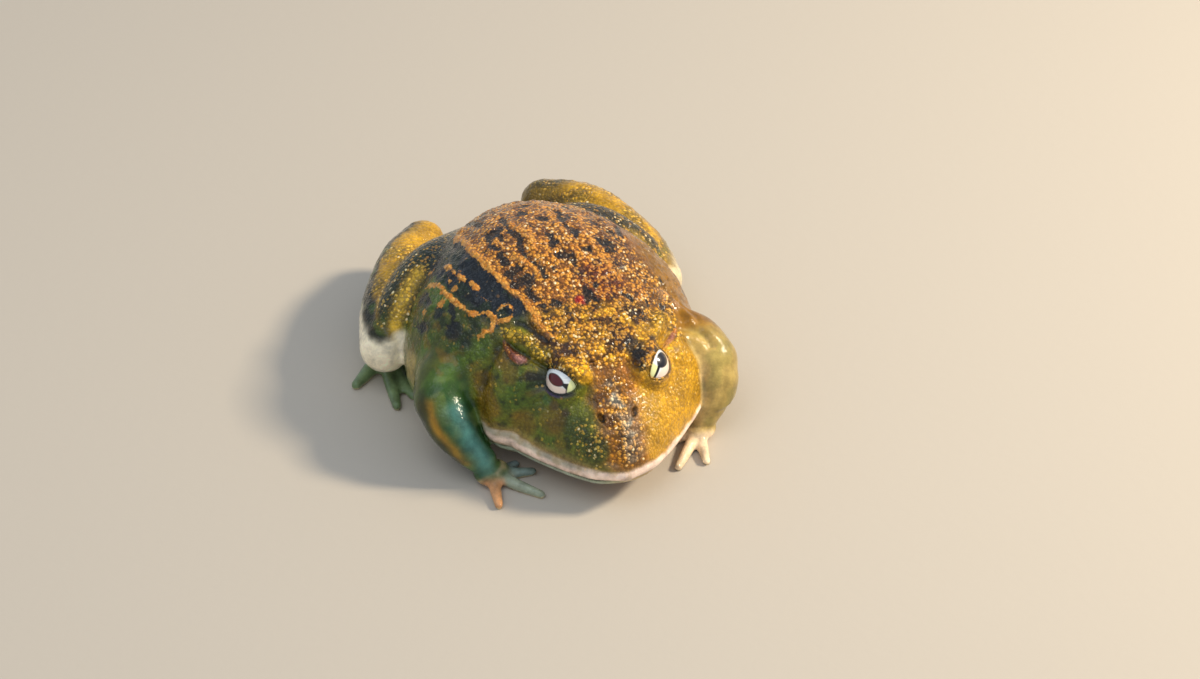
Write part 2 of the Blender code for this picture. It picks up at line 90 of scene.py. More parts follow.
# Places and directions on the head are sideways, forward, up.
EYE_RADIUS = 7.0
EYE_PLACES = {-1: (-11.8, 5.9, 33.6), 1: (13.4, 5.9, 33.2)}  # by side
EYE_AXES = {-1: (-0.68, 0.44, 0.53), 1: (0.55, 0.5, 0.67)}
EYE_ROLLS = {-1: -4.0, 1: 12.0}  # degrees by which the slit's front end leans down
LID_RADIUS = 8.6
# The slit between the lids: length backward and forward of its middle, and height over and under it.
LID_OPENINGS = {-1: (7.9, 7.3, 3.9, 5.1), 1: (7.4, 6.8, 3.5, 5.6)}
LID_POWERS = (1.4, 1.75)  # pointed behind and blunter in front
LID_DEPTHS = (-0.8, 0.75)  # from the eyeball's surface: the hidden skin behind it, and the skin at its rim
SLIT_REACH = 13.0  # a place farther than this from the eye's middle isn't in its slit
LID_RIM = (0.34, 0.28)  # half thickness of the wet cord round the slit, outward and across it
LID_RIM_LIFT = 0.3
CORNEA_BULGE = 0.25
# Pupils: how far the middle lies behind the slit's, and the degrees by which the front end leans down.
PUPILS = {-1: (0.15, 8.0), 1: (0.6, 0.0)}
PUPIL_HALVES = {-1: (3.05, 1.65), 1: (2.9, 2.0)}  # half length and half height
# The pale front corner of the eye: where it starts, and the place and slope of its lower border.
EYE_CORNERS = {-1: (4.2, 4.2, 0.0), 1: (2.6, 3.4, 1.05)}
# Eardrum by side: rear tail, front, and the half widths there.
DRUMS = {
    -1: ((-28.7, -8.8, 41.2), (-23.6, 0.1, 38.8), (0.5, 1.75)),
    1: ((27.2, -9.8, 36.6), (22.1, -0.4, 37.3), (0.3, 0.9)),
}

# In these places and directions on the head, sideways is taken outward.
NOSTRIL_PLACE = (5.3, 20.6, 29.0)
NOSTRIL_RUN = (0.45, -0.62, 0.64)  # the way its long axis points
NOSTRIL_PIT = (1.5, 0.8)  # half length and half width of the hollow
# The nostril's dark inside is painted shade in its hollow.
NOSTRIL_DARK = (1.7, 1.0)  # and of its dark inside
NOSE_BRIDGE = ((9.5, 14.5, 36.5), (6.6, 19.5, 31.5))
SUPRA_RIDGE = ((19, 1.1, 40.9), (21, -1.7, 42.7), (23.1, -5.7, 43.6), (25.3, -7.7, 44.2), (28.2, -9.8, 44.5))
DRUM_FURROW = ((20.5, 0.7, 38.9), (22.3, -1.1, 39.5), (24.6, -3.9, 39.7), (26.7, -5.9, 40.6),
               (28.3, -8.6, 41.3))
BROW_FURROW = ((15.5, -1.5, 43.4), (17.6, -4.7, 43.5), (19.6, -7.2, 44.2), (22, -10.5, 44.9),
               (25.4, -11.2, 45.2))
NECK_CREASE = ((29.6, -9.2, 41.2), (31.7, -6.7, 39), (35.4, -5.1, 33.7), (36.6, -3.8, 30.4), (38, -3.5, 27))
HEAD_FOLDS = (  # lines with their height, which is negative for a furrow, and their width in mm
    (SUPRA_RIDGE, 1.25, 1.5),
    (DRUM_FURROW, -0.8, 0.8),
    (BROW_FURROW, -0.8, 1.2),
    (NECK_CREASE, -1.5, 1.5),
)
# Painted shade along the furrows of the head.
FURROW_SHADES = (  # lines with their darkness and width in mm
    (DRUM_FURROW, 0.8, 0.8),
    (BROW_FURROW, 0.95, 1.2),
    (NECK_CREASE, 0.6, 0.9),
)
DRUM_SLOPE = (-0.86, -0.35, 0.38)  # up across the eardrum
DRUM_BOW = 1.1
DRUM_DEPTH = 4.0  # a place farther than this from the eardrum's plane isn't on it

# How the skin is worked out.
LINE_POINTS = 24  # points of a line that is laid on the skin
FAR_OUTSIDE = 9.0  # what a measure or a distance outside an edge says where there is nothing near
GROUNDED = 0.3  # skin lower than this rests on the floor
# Steps of smoothing, each as a share of the way to the mean of a point's neighbours.
RELAXING_STEPS = (0.55, -0.57)
BLENDING_STEPS = (0.6,)
# The lower jaw is drawn in by this share of its distance from a point this far behind the head's own zero.
JAW_INSET = 0.028
JAW_BACK = 5
# The face's voxels are finer out to the first distance, less so out to the second and plain beyond it.
FACE_CENTRE = (0, 8, 26)
DETAIL_REACHES = (34, 60, 400)
EASED_DETAIL = 1.15
# Places where forms meet in a crease that the skin fills, and a fold over the left shoulder: all of these are
# in the frame of the whole animal.
GROINS = ((-22, 38, 38), (22, 41, 38))
ARMPITS = ((-34, -6, 34), (36, -12, 34))
CREASE_REACHES = (11, 8)  # round a groin and round an armpit
SHOULDER_FOLD = ((27, -9.5, 44.5), (33, -7.2, 40.4), (37.2, -9, 36.9), (39.8, -13.4, 34.5),
                 (39.1, -18.5, 33.4))

# Limb joints: x outwards from the midline, y, z, flesh radius.
HIND = {
    "right": {
        "thigh": ((12, 46, 26, 11.5), (29, 38, 26.5, 12.5), (41, 30, 22.5, 10.5), (48.5, 25, 18, 8)),
        "shank": (
            (50.5, 24, 15, 8.4),
            (46, 34.5, 17, 10),
            (40, 47, 18, 10.2),
            (33.5, 60, 18, 9.2),
            (25, 71, 17, 7.4),
        ),
        "foot": ((25, 71, 8.5, 5.6), (34, 58, 5, 5.6), (43, 44, 4.2, 5.6), (48.5, 35.5, 3.4, 5)),
        "toe_tips": ((37, 28), (39.5, 20), (44.5, 13), (51, 10), (61, 24)),
    },
    "left": {
        "thigh": ((12, 49, 26, 11.5), (25, 42, 27, 12.5), (36, 34, 23.5, 10.5), (41.5, 28.5, 20, 8)),
        "shank": (
            (44, 27.5, 16.5, 8.4),
            (42, 37.5, 18, 10),
            (37.5, 51, 19.5, 10.6),
            (30.5, 65.5, 20.5, 10),
            (19.5, 75.5, 20, 8.2),
        ),
        "foot": ((21, 75, 8.5, 5.6), (30, 62, 5, 5.6), (38.5, 49, 4.2, 5.6), (43.5, 41, 3.4, 5)),
        "toe_tips": ((33, 35), (36, 27), (41, 20), (47.5, 17), (54.5, 28)),
    },
}
FORE = {
    "right": {
        "upper_arm": ((28, -1, 24, 9), (38.2, -7.5, 24.5, 9.8), (42.5, -13.5, 21.5, 8.8)),
        "forearm": (
            (41.8, -14, 20.5, 8.4),
            (40.8, -20, 17, 8),
            (38, -25.5, 11.5, 6.4),
            (34, -30, 7.2, 4.8),
        ),
        "palm": (31.4, -32, 3.2),
        "finger_tips": ((22.5, -28.5), (18.4, -33.5), (18.9, -44.6), (33, -45.2)),
    },
    "left": {
        "upper_arm": ((32, -8, 25.5, 9), (40.8, -15.5, 25, 9.8), (45.4, -21.5, 21.5, 8.6)),
        "forearm": (
            (44.8, -21.5, 20.5, 8.4),
            (45, -26, 16.5, 7.8),
            (43.5, -29.5, 11.5, 6.2),
            (41, -31.5, 7, 4.7),
        ),
        "palm": (38.6, -32.4, 3.2),
        "finger_tips": ((30, -28.5), (25, -34), (26.8, -46.4), (36.4, -46.6)),
    },
}
PALM_RADII = (6.0, 5.4, 3.4)
FINGER_RADII = (2.2, 1.85, 1.3)
TOE_RADII = (2.9, 2.4, 1.6)
KNUCKLE_SHARE = 0.55
KNUCKLE_RISE = 0.4
FINGER_HEIGHTS = (2.6, 1.1)
TOE_HEIGHTS = (3.0, 1.3)
WEB_REACH = 0.5
WEB_DIP = 0.86
WEB_THICKNESS = 1.4
SPADE_RADII = (1.9, 4.2, 1.9)
SPADE_SHIFT = (2.2, 3.4, 1.9)
SPADE_TURN = 30.0

# Markings of the back, seen from above: x, y.
EDGE_RIDGE = ((-18.6, 42), (-22.7, 32.6), (-21.6, 26), (-21.7, 17.9), (-20.6, 13.4), (-19.6, 9.4),
              (-18.6, 5.3), (-17.5, 2.6), (-16.4, -0.2), (-15.5, -2.4), (-13.6, -5.3), (-12.2, -8.5),
              (-11.3, -12.5),
              (-10.2, -17), (-8.4, -20.6), (-6.9, -23.2))
SHOULDER_RIDGE = ((-37.4, 20.9), (-35.7, 17.5), (-34.4, 12.8), (-33.4, 8.6), (-32.1, 4.1), (-30.9, 1.6),
                  (-29.9, -1.4), (-28.4, -3.8), (-26.1, -4.9), (-23.7, -6.3), (-22.4, -8.9), (-20.4, -10.8),
                  (-17.6, -10.9), (-16.4, -9.4), (-17.4, -7.6), (-19.6, -6.8), (-21.6, -7.2))
BACK_LINES = (  # places, half width and height in mm
    (EDGE_RIDGE, 1.0, 0.9),
    (SHOULDER_RIDGE, 0.55, 0.8),
    (((-23.7, -6.3), (-22.6, -9), (-24.5, -10.9), (-27.8, -10.8)), 0.5, 0.5),
    (((-29.7, 20.3), (-29.2, 16.4), (-28.3, 11.6), (-27.2, 8.6)), 0.85, 0.7),
    (((-25.9, 6.4), (-25.2, 4.2), (-24.4, 2.3)), 0.6, 0.6),
    (((-6.5, 29.5), (-6.8, 22.2), (-4.6, 18), (-3.8, 12.6), (-3.8, 7.3), (-3.3, 2.8)), 0.9, 0.5),
    (((-12.1, 8.8), (-9.1, 6), (-6.1, 2.4), (-5.7, -0.6)), 0.6, 0.5),
    (((7, 42), (6.6, 27), (7.6, 12), (9.6, 2)), 0.4, 0.45),
    (((20, 36), (15.5, 22), (14.6, 12), (17, 2), (20, -6)), 0.4, 0.45),
    (((-2.7, -0.2), (-0.6, -2.2), (2.3, -2.5), (3.9, -2.9)), 0.35, 0.5),
    (((-40.5, 11.1), (-40.3, 8.4)), 0.7, 0.5),
    (((-31, 8.2), (-29.6, 7.2)), 0.8, 0.5),
    (((-31.2, 12.8), (-30.6, 11.8)), 0.6, 0.5),
    (((-36.1, 6.7), (-34.9, 5.9)), 0.6, 0.5),
    (((-24.4, -0.4), (-23, -2), (-21.8, -3.5)), 0.3, 0.4),
    (((-33.8, 27.6), (-33, 25.6)), 0.7, 0.5),
)
DASHES = (  # dark dashes between the ridges: places and half width in mm
    (((-8.3, 31.9), (-8.1, 23)), 1.2),
    (((-8.3, 20.5), (-6.6, 15), (-7.7, 10.2)), 1.1),
    (((-6.9, 8), (-5.4, 3.1)), 1.0),
    (((-15.2, 23.5), (-15.7, 16.1)), 1.0),
    (((-14.7, 14.8), (-13.9, 13.9)), 0.8),
    (((-14.2, 11.6), (-14.2, 7.4)), 1.4),
    (((-10.9, 3.7), (-14.6, 2.6)), 1.6),
    (((-13.7, -1.6), (-9.4, -1.3)), 1.7),
    (((-10.7, -4.6), (-8.4, -8.2)), 1.2),
    (((-8.1, -10.9), (-7.2, -13.4)), 1.2),
    (((-4.5, 1.6), (-3.5, -1.6)), 1.1),
    (((2.5, 26.2), (4.5, 23.5)), 1.1),
    (((2.7, 14.1), (3.1, 10.2)), 1.4),
    (((-3.5, -11.6), (-1.2, -16.2)), 1.3),
    (((-15.9, 45.2), (-14.9, 34)), 1.4),
    (((9.4, 28.7), (9.2, 21.9)), 1.1),
    (((9.8, 18.6), (11.1, 15.7), (10.2, 12.2)), 1.0),
    (((3.2, 5.3), (7.4, 4)), 1.2),
    (((11.4, 6.1), (13.7, 5.5)), 1.2),
    (((17.9, 10.8), (18.8, 8.4), (21.5, 8.4), (21.7, 5.8)), 1.1),
    (((27.5, 21.4), (26.9, 15)), 0.9),
    (((7.5, -9.5), (6.9, -13.8)), 1.5),
    (((18.8, -10.8), (20.9, -12.6), (21.4, -16.1), (20.9, -21)), 0.9),
    (((-0.4, 37), (2.3, 38.4)), 1.1),
)
DASH_RUN = (0.24, -0.97)  # the way in which the scattered dashes are drawn out
SCAB = (4.5, -12.4, 1.4)  # x, y and radius
# Lines down the limbs, on the outer side: places in the frame of the whole animal, sideways taken outward.
ARM_TEAL = ((39.6, -24.1, 23.8), (37.8, -28, 19), (36.8, -29.8, 16), (33.3, -34.2, 8.1))
ARM_LINE = ((46.8, -19.6, 25.8), (47.1, -22.5, 22), (46.1, -25.7, 18.5), (43.2, -29, 14.9), (39, -31.1, 9.1))
ARM_BORDER = ((25.8, 46.8), (14.9, 43.2), (9.1, 39.0))  # height and outward place of the dark side's border
THIGH_STRIP = ((37.3, 31.2, 36.1), (41.2, 27.8, 33.4), (44.4, 24.5, 30.5), (46.7, 21.8, 27.3),
               (48.2, 19.6, 23.9))
KNEE_TOP = 21.6  # upper edge of the bare knee, which rises inward from KNEE_OUT
KNEE_OUT = 52
# Blotches: colour, place in mm, reach in mm, strength. These are in the frame of the whole animal.
BODY_BLOTCHES = (
    ("rust", (13.5, -5.5, 49.8), 9.0, 0.9),
    ("rust", (11.0, -14.6, 47.4), 5.0, 0.8),
    ("plum", (20.9, -0.2, 49.8), 3.6, 0.75),
    ("plum", (6.9, -1.1, 51.9), 3.0, 0.7),
    ("plum", (13.9, 1.1, 51.8), 2.0, 0.7),
    ("dark_brown", (9.6, -14.6, 47.8), 2.8, 0.9),
    ("dark_brown", (15.4, -12.6, 47.6), 2.2, 0.6),
    ("navy", (-36.6, 4.6, 41.1), 2.8, 0.85),
    ("navy", (-34.5, -4.5, 39.6), 3.8, 0.85),
    ("navy", (-31.9, -9.4, 37.2), 2.8, 0.7),
    ("navy", (-39.0, 16.8, 37.3), 3.4, 0.85),
    ("navy", (-35.8, 24.0, 38.5), 3.6, 0.85),
    ("navy", (-42.4, 6.0, 34.8), 2.4, 0.6),
    ("ochre", (-47.3, -10.5, 29.5), 5.0, 0.7),
    ("ochre", (-49.4, -11.2, 25.0), 5.5, 0.8),
    ("ochre", (-46.8, 3.9, 21.7), 7.0, 0.7),
    ("fold", (33.0, -7.6, 40.4), 3.4, 0.6),
    ("fold", (37.2, -9.6, 36.0), 3.4, 0.6),
    ("fold", (37.8, -16.5, 32.6), 3.6, 0.5),
)
# And these in the frame of the head.
HEAD_BLOTCHES = (
    ("brow", (-8.2, 10.2, 38.8), 3.8, 1.0),
    ("brow", (17.0, -2.6, 40.9), 3.6, 0.7),
    ("brow", (-0.6, 3.0, 41.6), 2.4, 0.7),
    ("emerald", (-21.7, 6.1, 33.3), 3.4, 0.8),
    ("emerald", (-19.0, 8.6, 30.2), 2.6, 0.6),
    ("navy", (-23.4, 4.2, 36.0), 2.6, 0.85),
    ("snout_green", (-12.8, 20.0, 25.4), 5.0, 0.9),
    ("snout_green", (-8.4, 26.4, 21.4), 5.0, 0.85),
    ("dark", (9.4, 4.4, 42.6), 3.8, 0.85),
    ("dark", (10.2, 8.0, 41.0), 3.0, 0.9),
    ("dark_green", (10.6, 12.2, 39.0), 2.0, 0.8),
    ("dark_brown", (-4.7, 16.4, 32.4), 2.8, 0.6),
    ("dark_brown", (-3.4, 21.7, 28.6), 2.4, 0.6),
    ("dark_brown", (4.4, -3.8, 44.5), 4.2, 0.6),
    ("dark_brown", (13.4, -10.5, 45.3), 4.2, 0.75),
    ("cheek_brown", (-30.3, -4.6, 38.0), 4.0, 0.75),
    ("cheek_brown", (-28.6, 0.6, 35.0), 3.6, 0.6),
    ("cheek_brown", (-36.6, -3.4, 30.5), 4.6, 0.75),
    ("cheek_brown", (-36.4, 1.0, 25.0), 5.4, 0.8),
    ("cheek_brown", (-19.5, 14.5, 25.5), 5.5, 0.6),
    ("cheek_brown", (-27.0, 9.4, 22.4), 5.0, 0.6),
    ("plum", (-17.6, 11.2, 29.2), 2.2, 0.7),
    ("plum", (-15.0, 14.4, 28.0), 1.8, 0.6),
)
ARM_STARTS = {-1: -14.5, 1: -17.0}  # behind these the arms are covered by the skin of the flank
# A line down the snout where the wet skin's sheen is painted as pale grey.
SHEEN_LINE = ((-1.0, 14.0, 34.8), (-0.3, 16.8, 32.8), (2.0, 20.5, 29.7), (3.2, 25.0, 25.4))
SNOUT_SIDE = (-9, 24, 23)  # a place on the head with many bright granules
DARK_BROW = (9.8, 6.2, 41.8)  # and one with few

# How strongly a marking shows on the right side and on the left one.
STRENGTHS = {
    "arm_mottle": (0.45, 0.25),
    "arm_outer": (0.85, 0.3),
    "arm_edge": (0.75, 0.3),
    "shank_dark": (1, 0.4),
    "knee": (1, 0.6),
    "drum": (1, 0.5),
    "drum_front": (1, 0.6),
    "supra": (1, 0.3),
    "lid": (1, 0.35),
    # The painted shade over the upper lid, along the slit's edge and in the furrows is weaker on the lit left
    # side.
    "lid_green": (0.8, 0.35),
    "lid_edge": (0.9, 0.5),
    "furrow": (1, 0.3),
}

# Noises of the skin: size in metres, detail and roughness. A clump is one of granules.
SKIN_NOISES = {
    "clump": (0.0035, 3.0, 0.6),
    "mottle": (0.006, 4.0, 0.65),
    "speck": (0.0013, 2.0, 0.6),
    "pore": (0.0005, 2.0, 0.5),
    "film": (0.0018, 2.0, 0.55),
}
WART_SPACING = 0.0027
STIR_SIZE = 0.0016  # of the waves that move granules and warts out of their even places
STIR_REACH = 0.0011

# Stage: a point to look at in mm, then metres, and linear colours of the lights.
SUBJECT = (-3.5, 0, 25)
CAMERA_ASIDE = 0.0176  # to the right of the subject, so that there is room before its face
FLOOR_REACH = 1.6
FLOOR_LINES = 24
KEY_SIZE = 0.18
KEY_TINT = (1.0, 0.87, 0.66)
OVERHEAD_SIZE = 0.6
OVERHEAD_TINT = (0.86, 0.93, 1.0)
SKY_TINT = (0.8, 0.89, 1.0, 1)


# ---------------------------------------------------------------- shapes as functions of two parameters


def along(stations, values, t):
    """Smooth value at t in 0 to 1 along the stations, by cubic Hermite pieces between them."""
    x = np.asarray(stations, float)
    y = np.asarray(values, float)
    u = (x - x[0]) / (x[-1] - x[0])
    slope = np.gradient(y, u)
    i = np.clip(np.searchsorted(u, t) - 1, 0, len(u) - 2)
    h = u[i + 1] - u[i]
    k = (t - u[i]) / h
    return (
        (2 * k**3 - 3 * k**2 + 1) * y[i]
        + (k**3 - 2 * k**2 + k) * h * slope[i]
        + (3 * k**2 - 2 * k**3) * y[i + 1]
        + (k**3 - k**2) * h * slope[i + 1]
    )


def eased(count):
    """Places from 0 to 1, closer together towards both ends."""
    even = np.linspace(0, 1, count)
    return (1 - RING_EASE) * even + RING_EASE * (1 - np.cos(math.pi * even)) / 2


def from_head(places):
    """Sideways, forward, up on the head, as points of the design frame: a turn by the head's yaw."""
    places = np.asarray(places, float)
    yaw = math.radians(HEAD_YAW)
    x = HEAD_CENTRE[0] + places[..., 0] * math.cos(yaw) + places[..., 1] * math.sin(yaw)
    y = HEAD_CENTRE[1] + places[..., 0] * math.sin(yaw) - places[..., 1] * math.cos(yaw)
    return np.stack([x, y, places[..., 2]], axis=-1)


def to_head(points):
    """Points of the design frame as sideways, forward, up on the head."""
    yaw = math.radians(HEAD_YAW)
    x, y = points[..., 0] - HEAD_CENTRE[0], points[..., 1] - HEAD_CENTRE[1]
    sideways = x * math.cos(yaw) + y * math.sin(yaw)
    forward = x * math.sin(yaw) - y * math.cos(yaw)
    return np.stack([sideways, forward, points[..., 2]], axis=-1)


def looking(axis):
    """Three unit columns: x level along the head, y up the eyeball, z out along the given direction."""
    z = from_head(axis) - from_head((0, 0, 0))
    z /= np.linalg.norm(z)
    x = np.cross((0, 0, 1), z)
    x /= np.linalg.norm(x)
    return np.column_stack([x, np.cross(z, x), z])


def body_rings(stations, half_width, top, bottom, widest_z, upper_power, lower_power, grid):
    """Rings of sections: a superellipse of one exponent over the widest line and of another under it."""
    rows, columns = grid
    t = eased(rows)[:, None]
    width = np.maximum(along(stations, half_width, t), 0)
    high, low = along(stations, top, t), along(stations, bottom, t)
    lowest, highest = (low + share * (high - low) for share in WIDEST_SHARE)
    middle = np.clip(widest_z, lowest, highest)
    upper_power = along(stations, upper_power, t) if np.ndim(upper_power) else upper_power
    angle = np.linspace(0, 2 * math.pi, columns, endpoint=False)[None, :]
    c, s = np.cos(angle), np.sin(angle)
    over = s >= 0
    power = np.where(over, upper_power, lower_power)
    x = width * np.sign(c) * np.abs(c) ** (2 / power)
    y = np.broadcast_to(stations[0] + (stations[-1] - stations[0]) * t, x.shape)
    z = middle + np.where(over, high - middle, middle - low) * np.sign(s) * np.abs(s) ** (2 / power)
    return np.stack([x, y, z], axis=-1)


def limb_path(joints, count):
    """Points and radius along a smooth curve through the joints, with a quarter turn at each end."""
    joints = np.asarray(joints, float)
    ends = np.linspace(0, 1, len(joints))
    t = np.linspace(0, 1, count)
    path = np.column_stack([along(ends, joints[:, k], t) for k in range(4)])
    turn = np.radians(np.linspace(88, 8, 9))[:, None]

    def dome(end, inner):
        """Points and shrinking radii that round one end off."""
        beyond = (end - inner)[:3] / np.linalg.norm((end - inner)[:3])
        return np.hstack([end[:3] + beyond * end[3] * np.sin(turn), end[3] * np.cos(turn)])

    return np.vstack([dome(path[0], path[1]), path, dome(path[-1], path[-2])[::-1]])


def tube(path, columns):
    """A circle of the path's radius at each of its points, square to it: rings for a closed surface."""
    centre, radius = path[:, :3], path[:, 3]
    ahead = np.gradient(centre, axis=0)
    ahead /= np.linalg.norm(ahead, axis=1)[:, None]
    fixed = np.eye(3)[np.argmin(np.abs(ahead).max(axis=0))]
    across = np.cross(ahead, fixed)
    across /= np.linalg.norm(across, axis=1)[:, None]
    upright = np.cross(across, ahead)
    angle = np.linspace(0, 2 * math.pi, columns, endpoint=False)[None, :, None]
    spoke = across[:, None] * np.cos(angle) + upright[:, None] * np.sin(angle)
    return centre[:, None] + spoke * radius[:, None, None]


def ball(centre, radii, turn=np.eye(3), rows=28, columns=40):
    """An ellipsoid as rings of latitude, turned and set on its centre."""
    polar = np.linspace(0, math.pi, rows)[:, None]
    angle = np.linspace(0, 2 * math.pi, columns, endpoint=False)[None, :]
    x = np.sin(polar) * np.cos(angle)
    y = np.sin(polar) * np.sin(angle)
    z = np.broadcast_to(np.cos(polar), x.shape)
    return np.asarray(centre, float) + (np.stack([x, y, z], axis=-1) * radii) @ np.asarray(turn).T


def web(root, tips):
    """The skin between the toes: an outline that dips between them, drawn in to its middle at both faces."""
    root = np.array([*root, 0.0])
    reach = [root + (np.array([*tip, 0.0]) - root) * WEB_REACH for tip in tips]
    edge = [reach[0]]
    for one, other in zip(reach, reach[1:]):
        edge += [root + ((one + other) / 2 - root) * WEB_DIP, other]
    heel = root + (root - (reach[0] + reach[-1]) / 2) * 0.2
    outline = np.array([heel, *edge, heel])
    even, corners = np.linspace(0, 1, 60, endpoint=False), np.linspace(0, 1, len(outline))
    outline = np.column_stack([np.interp(even, corners, outline[:, k]) for k in range(3)])
    middle = outline.mean(axis=0)
    share = np.array([0, 0.3, 0.6, 0.9, 1, 1, 0.9, 0.6, 0.3, 0])[:, None, None]
    height = np.array([1, 1, 1, 1, 0.7, 0.1, 0, 0, 0, 0])[:, None] * WEB_THICKNESS
    rings = middle + (outline - middle)[None] * share
    rings[..., 2] += height
    return rings


def closed_surface(rings):
    """Points and faces of rings of equal count, joined in order; each end is drawn into one point."""
    rows, columns = rings.shape[:2]
    inner = rings[1:-1].reshape(-1, 3)
    points = np.vstack([inner, rings[0].mean(axis=0), rings[-1].mean(axis=0)])
    grid = np.arange(len(inner)).reshape(rows - 2, columns)
    turned = np.roll(grid, -1, axis=1)
    quads = np.stack([grid[:-1], turned[:-1], turned[1:], grid[1:]], axis=-1).reshape(-1, 4)
    first = np.stack([turned[0], grid[0], np.full(columns, len(inner))], axis=-1)
    last = np.stack([grid[-1], turned[-1], np.full(columns, len(inner) + 1)], axis=-1)
    faces = quads.tolist() + first.tolist() + last.tolist()
    middle = points.mean(axis=0)
    corners = points[quads[:, :3]] - middle
    if np.einsum("ij,ij->i", corners[:, 0], np.cross(corners[:, 1], corners[:, 2])).sum() < 0:
        faces = [face[::-1] for face in faces]
    return points, faces


def merged(surfaces):
    """Several surfaces as one list of points and one of faces."""
    start = np.cumsum([0] + [len(points) for points, _ in surfaces])
    faces = [[i + base for i in face] for base, (_, some) in zip(start, surfaces) for face in some]
    return np.vstack([points for points, _ in surfaces]), faces


# ---------------------------------------------------------------- the flesh, and the forms it is made of


def outward(sign, points):
    """Places listed with sideways taken outward, on the side with this sign."""
    return [(sign * p[0], *p[1:]) for p in points]


def digit_joints(root, tip, radii, heights):
    """Three joints of a finger or toe: knuckle, middle and tip."""
    start, end = np.array([*root, heights[0]]), np.array([*tip, heights[1]])
    middle = start + (end - start) * KNUCKLE_SHARE
    middle[2] = heights[1] + KNUCKLE_RISE
    return [(*start, radii[0]), (*middle, radii[1]), (*end, radii[2])]


def limb_forms():
    """Name and joints of every limb segment, finger and toe of both sides."""
    forms = {}
    for side, sign in SIDES.items():
        hind, fore = HIND[side], FORE[side]
        for name in ("thigh", "shank", "foot"):
            forms[f"{name}_{side}"] = outward(sign, hind[name])
        for name in ("upper_arm", "forearm"):
            forms[f"{name}_{side}"] = outward(sign, fore[name])
        root = (sign * hind["foot"][-1][0], hind["foot"][-1][1])
        for n, tip in enumerate(outward(sign, hind["toe_tips"])):
            forms[f"toe_{side}_{n}"] = digit_joints(root, tip, TOE_RADII, TOE_HEIGHTS)
        root = (sign * fore["palm"][0], fore["palm"][1])
        for n, tip in enumerate(outward(sign, fore["finger_tips"])):
            forms[f"finger_{side}_{n}"] = digit_joints(root, tip, FINGER_RADII, FINGER_HEIGHTS)
    return forms


def flesh_surfaces():
    """Every closed form of the flesh, overlapping: trunk, head, lids, limbs, palms, webs and spades."""
    trunk = body_rings(TRUNK_Y, TRUNK_HALF_WIDTH, TRUNK_TOP, TRUNK_BOTTOM, TRUNK_WIDEST_Z, *TRUNK_ROUNDNESS,
                       (150, 200))
    trunk[..., 0] += along(TRUNK_Y, TRUNK_X, eased(150))[:, None]
    head = from_head(body_rings(HEAD_S, HEAD_HALF_WIDTH, HEAD_TOP, HEAD_BOTTOM, LIP_Z, HEAD_UPPER_ROUNDNESS,
                                HEAD_LOWER_ROUNDNESS, (150, 200)))
    rings = [trunk, head]
    for name, joints in limb_forms().items():
        slim = name.startswith(("toe", "finger"))
        rings.append(tube(limb_path(joints, 24 if slim else 48), 20 if slim else 48))
    for side, sign in SIDES.items():
        centre = from_head(EYE_PLACES[sign])
        rings.append(ball(centre, (LID_RADIUS,) * 3, rows=60, columns=80))
        palm = FORE[side]["palm"]
        rings.append(ball((sign * palm[0], *palm[1:]), PALM_RADII))
        foot = HIND[side]["foot"][-1]
        root = np.array([sign * foot[0], foot[1]])
        tips = outward(sign, HIND[side]["toe_tips"])
        rings.append(web(root, tips))
        inner = root + (np.array(tips[0]) - root) * 0.35
        turn = Matrix.Rotation(-sign * math.radians(SPADE_TURN), 3, "Z")
        place = (inner[0] - sign * SPADE_SHIFT[0], inner[1] + SPADE_SHIFT[1], SPADE_SHIFT[2])
        rings.append(ball(place, SPADE_RADII, turn))
    return [closed_surface(some) for some in rings]


def magnified(points, settings, back=False):
    """Moves points away from the face so that it takes more voxels: distance r from the face becomes f(r),
    which rises in straight pieces, most steeply near the face."""
    centre = from_head(FACE_CENTRE)
    near = np.array([0, *DETAIL_REACHES], float)
    far = np.cumsum([0, *np.diff(near) * (settings.face_detail, EASED_DETAIL, 1)])
    arm = points - centre
    r = np.linalg.norm(arm, axis=1)
    moved = np.interp(r, far, near) if back else np.interp(r, near, far)
    return centre + arm * (moved / np.maximum(r, 1e-6))[:, None]


def voxel_union(points, faces, voxel):
    """The outer surface of overlapping closed forms, as quads of about one voxel."""
    mesh = bpy.data.meshes.new("flesh")
    mesh.from_pydata(points.tolist(), [], faces)
    source = bpy.data.objects.new("flesh", mesh)
    bpy.context.scene.collection.objects.link(source)
    step = source.modifiers.new("union", "REMESH")
    step.mode = "VOXEL"
    step.voxel_size = voxel
    graph = bpy.context.evaluated_depsgraph_get()
    result = bpy.data.meshes.new_from_object(source.evaluated_get(graph))
    corners = np.empty(len(result.vertices) * 3)
    result.vertices.foreach_get("co", corners)
    loops = np.empty(len(result.loops), int)
    result.loops.foreach_get("vertex_index", loops)
    bpy.data.objects.remove(source)
    bpy.data.meshes.remove(mesh)
    bpy.data.meshes.remove(result)
    return corners.reshape(-1, 3), loops.reshape(-1, 4)


def edges_of(quads):
    """Each edge of the quads once, as pairs of points."""
    pairs = np.sort(np.vstack([quads[:, [k, (k + 1) % 4]] for k in range(4)]), axis=1)
    return np.unique(pairs, axis=0)


def averaged(points, edges, rounds, weight, steps):
    """Moves each point by its weight and each step towards the mean of its neighbours, in every round."""
    one = np.concatenate([edges[:, 0], edges[:, 1]])
    other = np.concatenate([edges[:, 1], edges[:, 0]])
    count = np.bincount(one, minlength=len(points))[:, None]
    weight = np.broadcast_to(weight, len(points))[:, None]
    for _ in range(rounds):
        for step in steps:
            total = np.column_stack([np.bincount(one, points[other, k], len(points)) for k in range(3)])
            points = points + (total / count - points) * weight * step
    return points


def relaxed(points, edges, rounds, weight=1.0):
    """Smooths the skin and keeps its volume: each step inward is followed by one outward."""
    return averaged(points, edges, rounds, weight, RELAXING_STEPS)


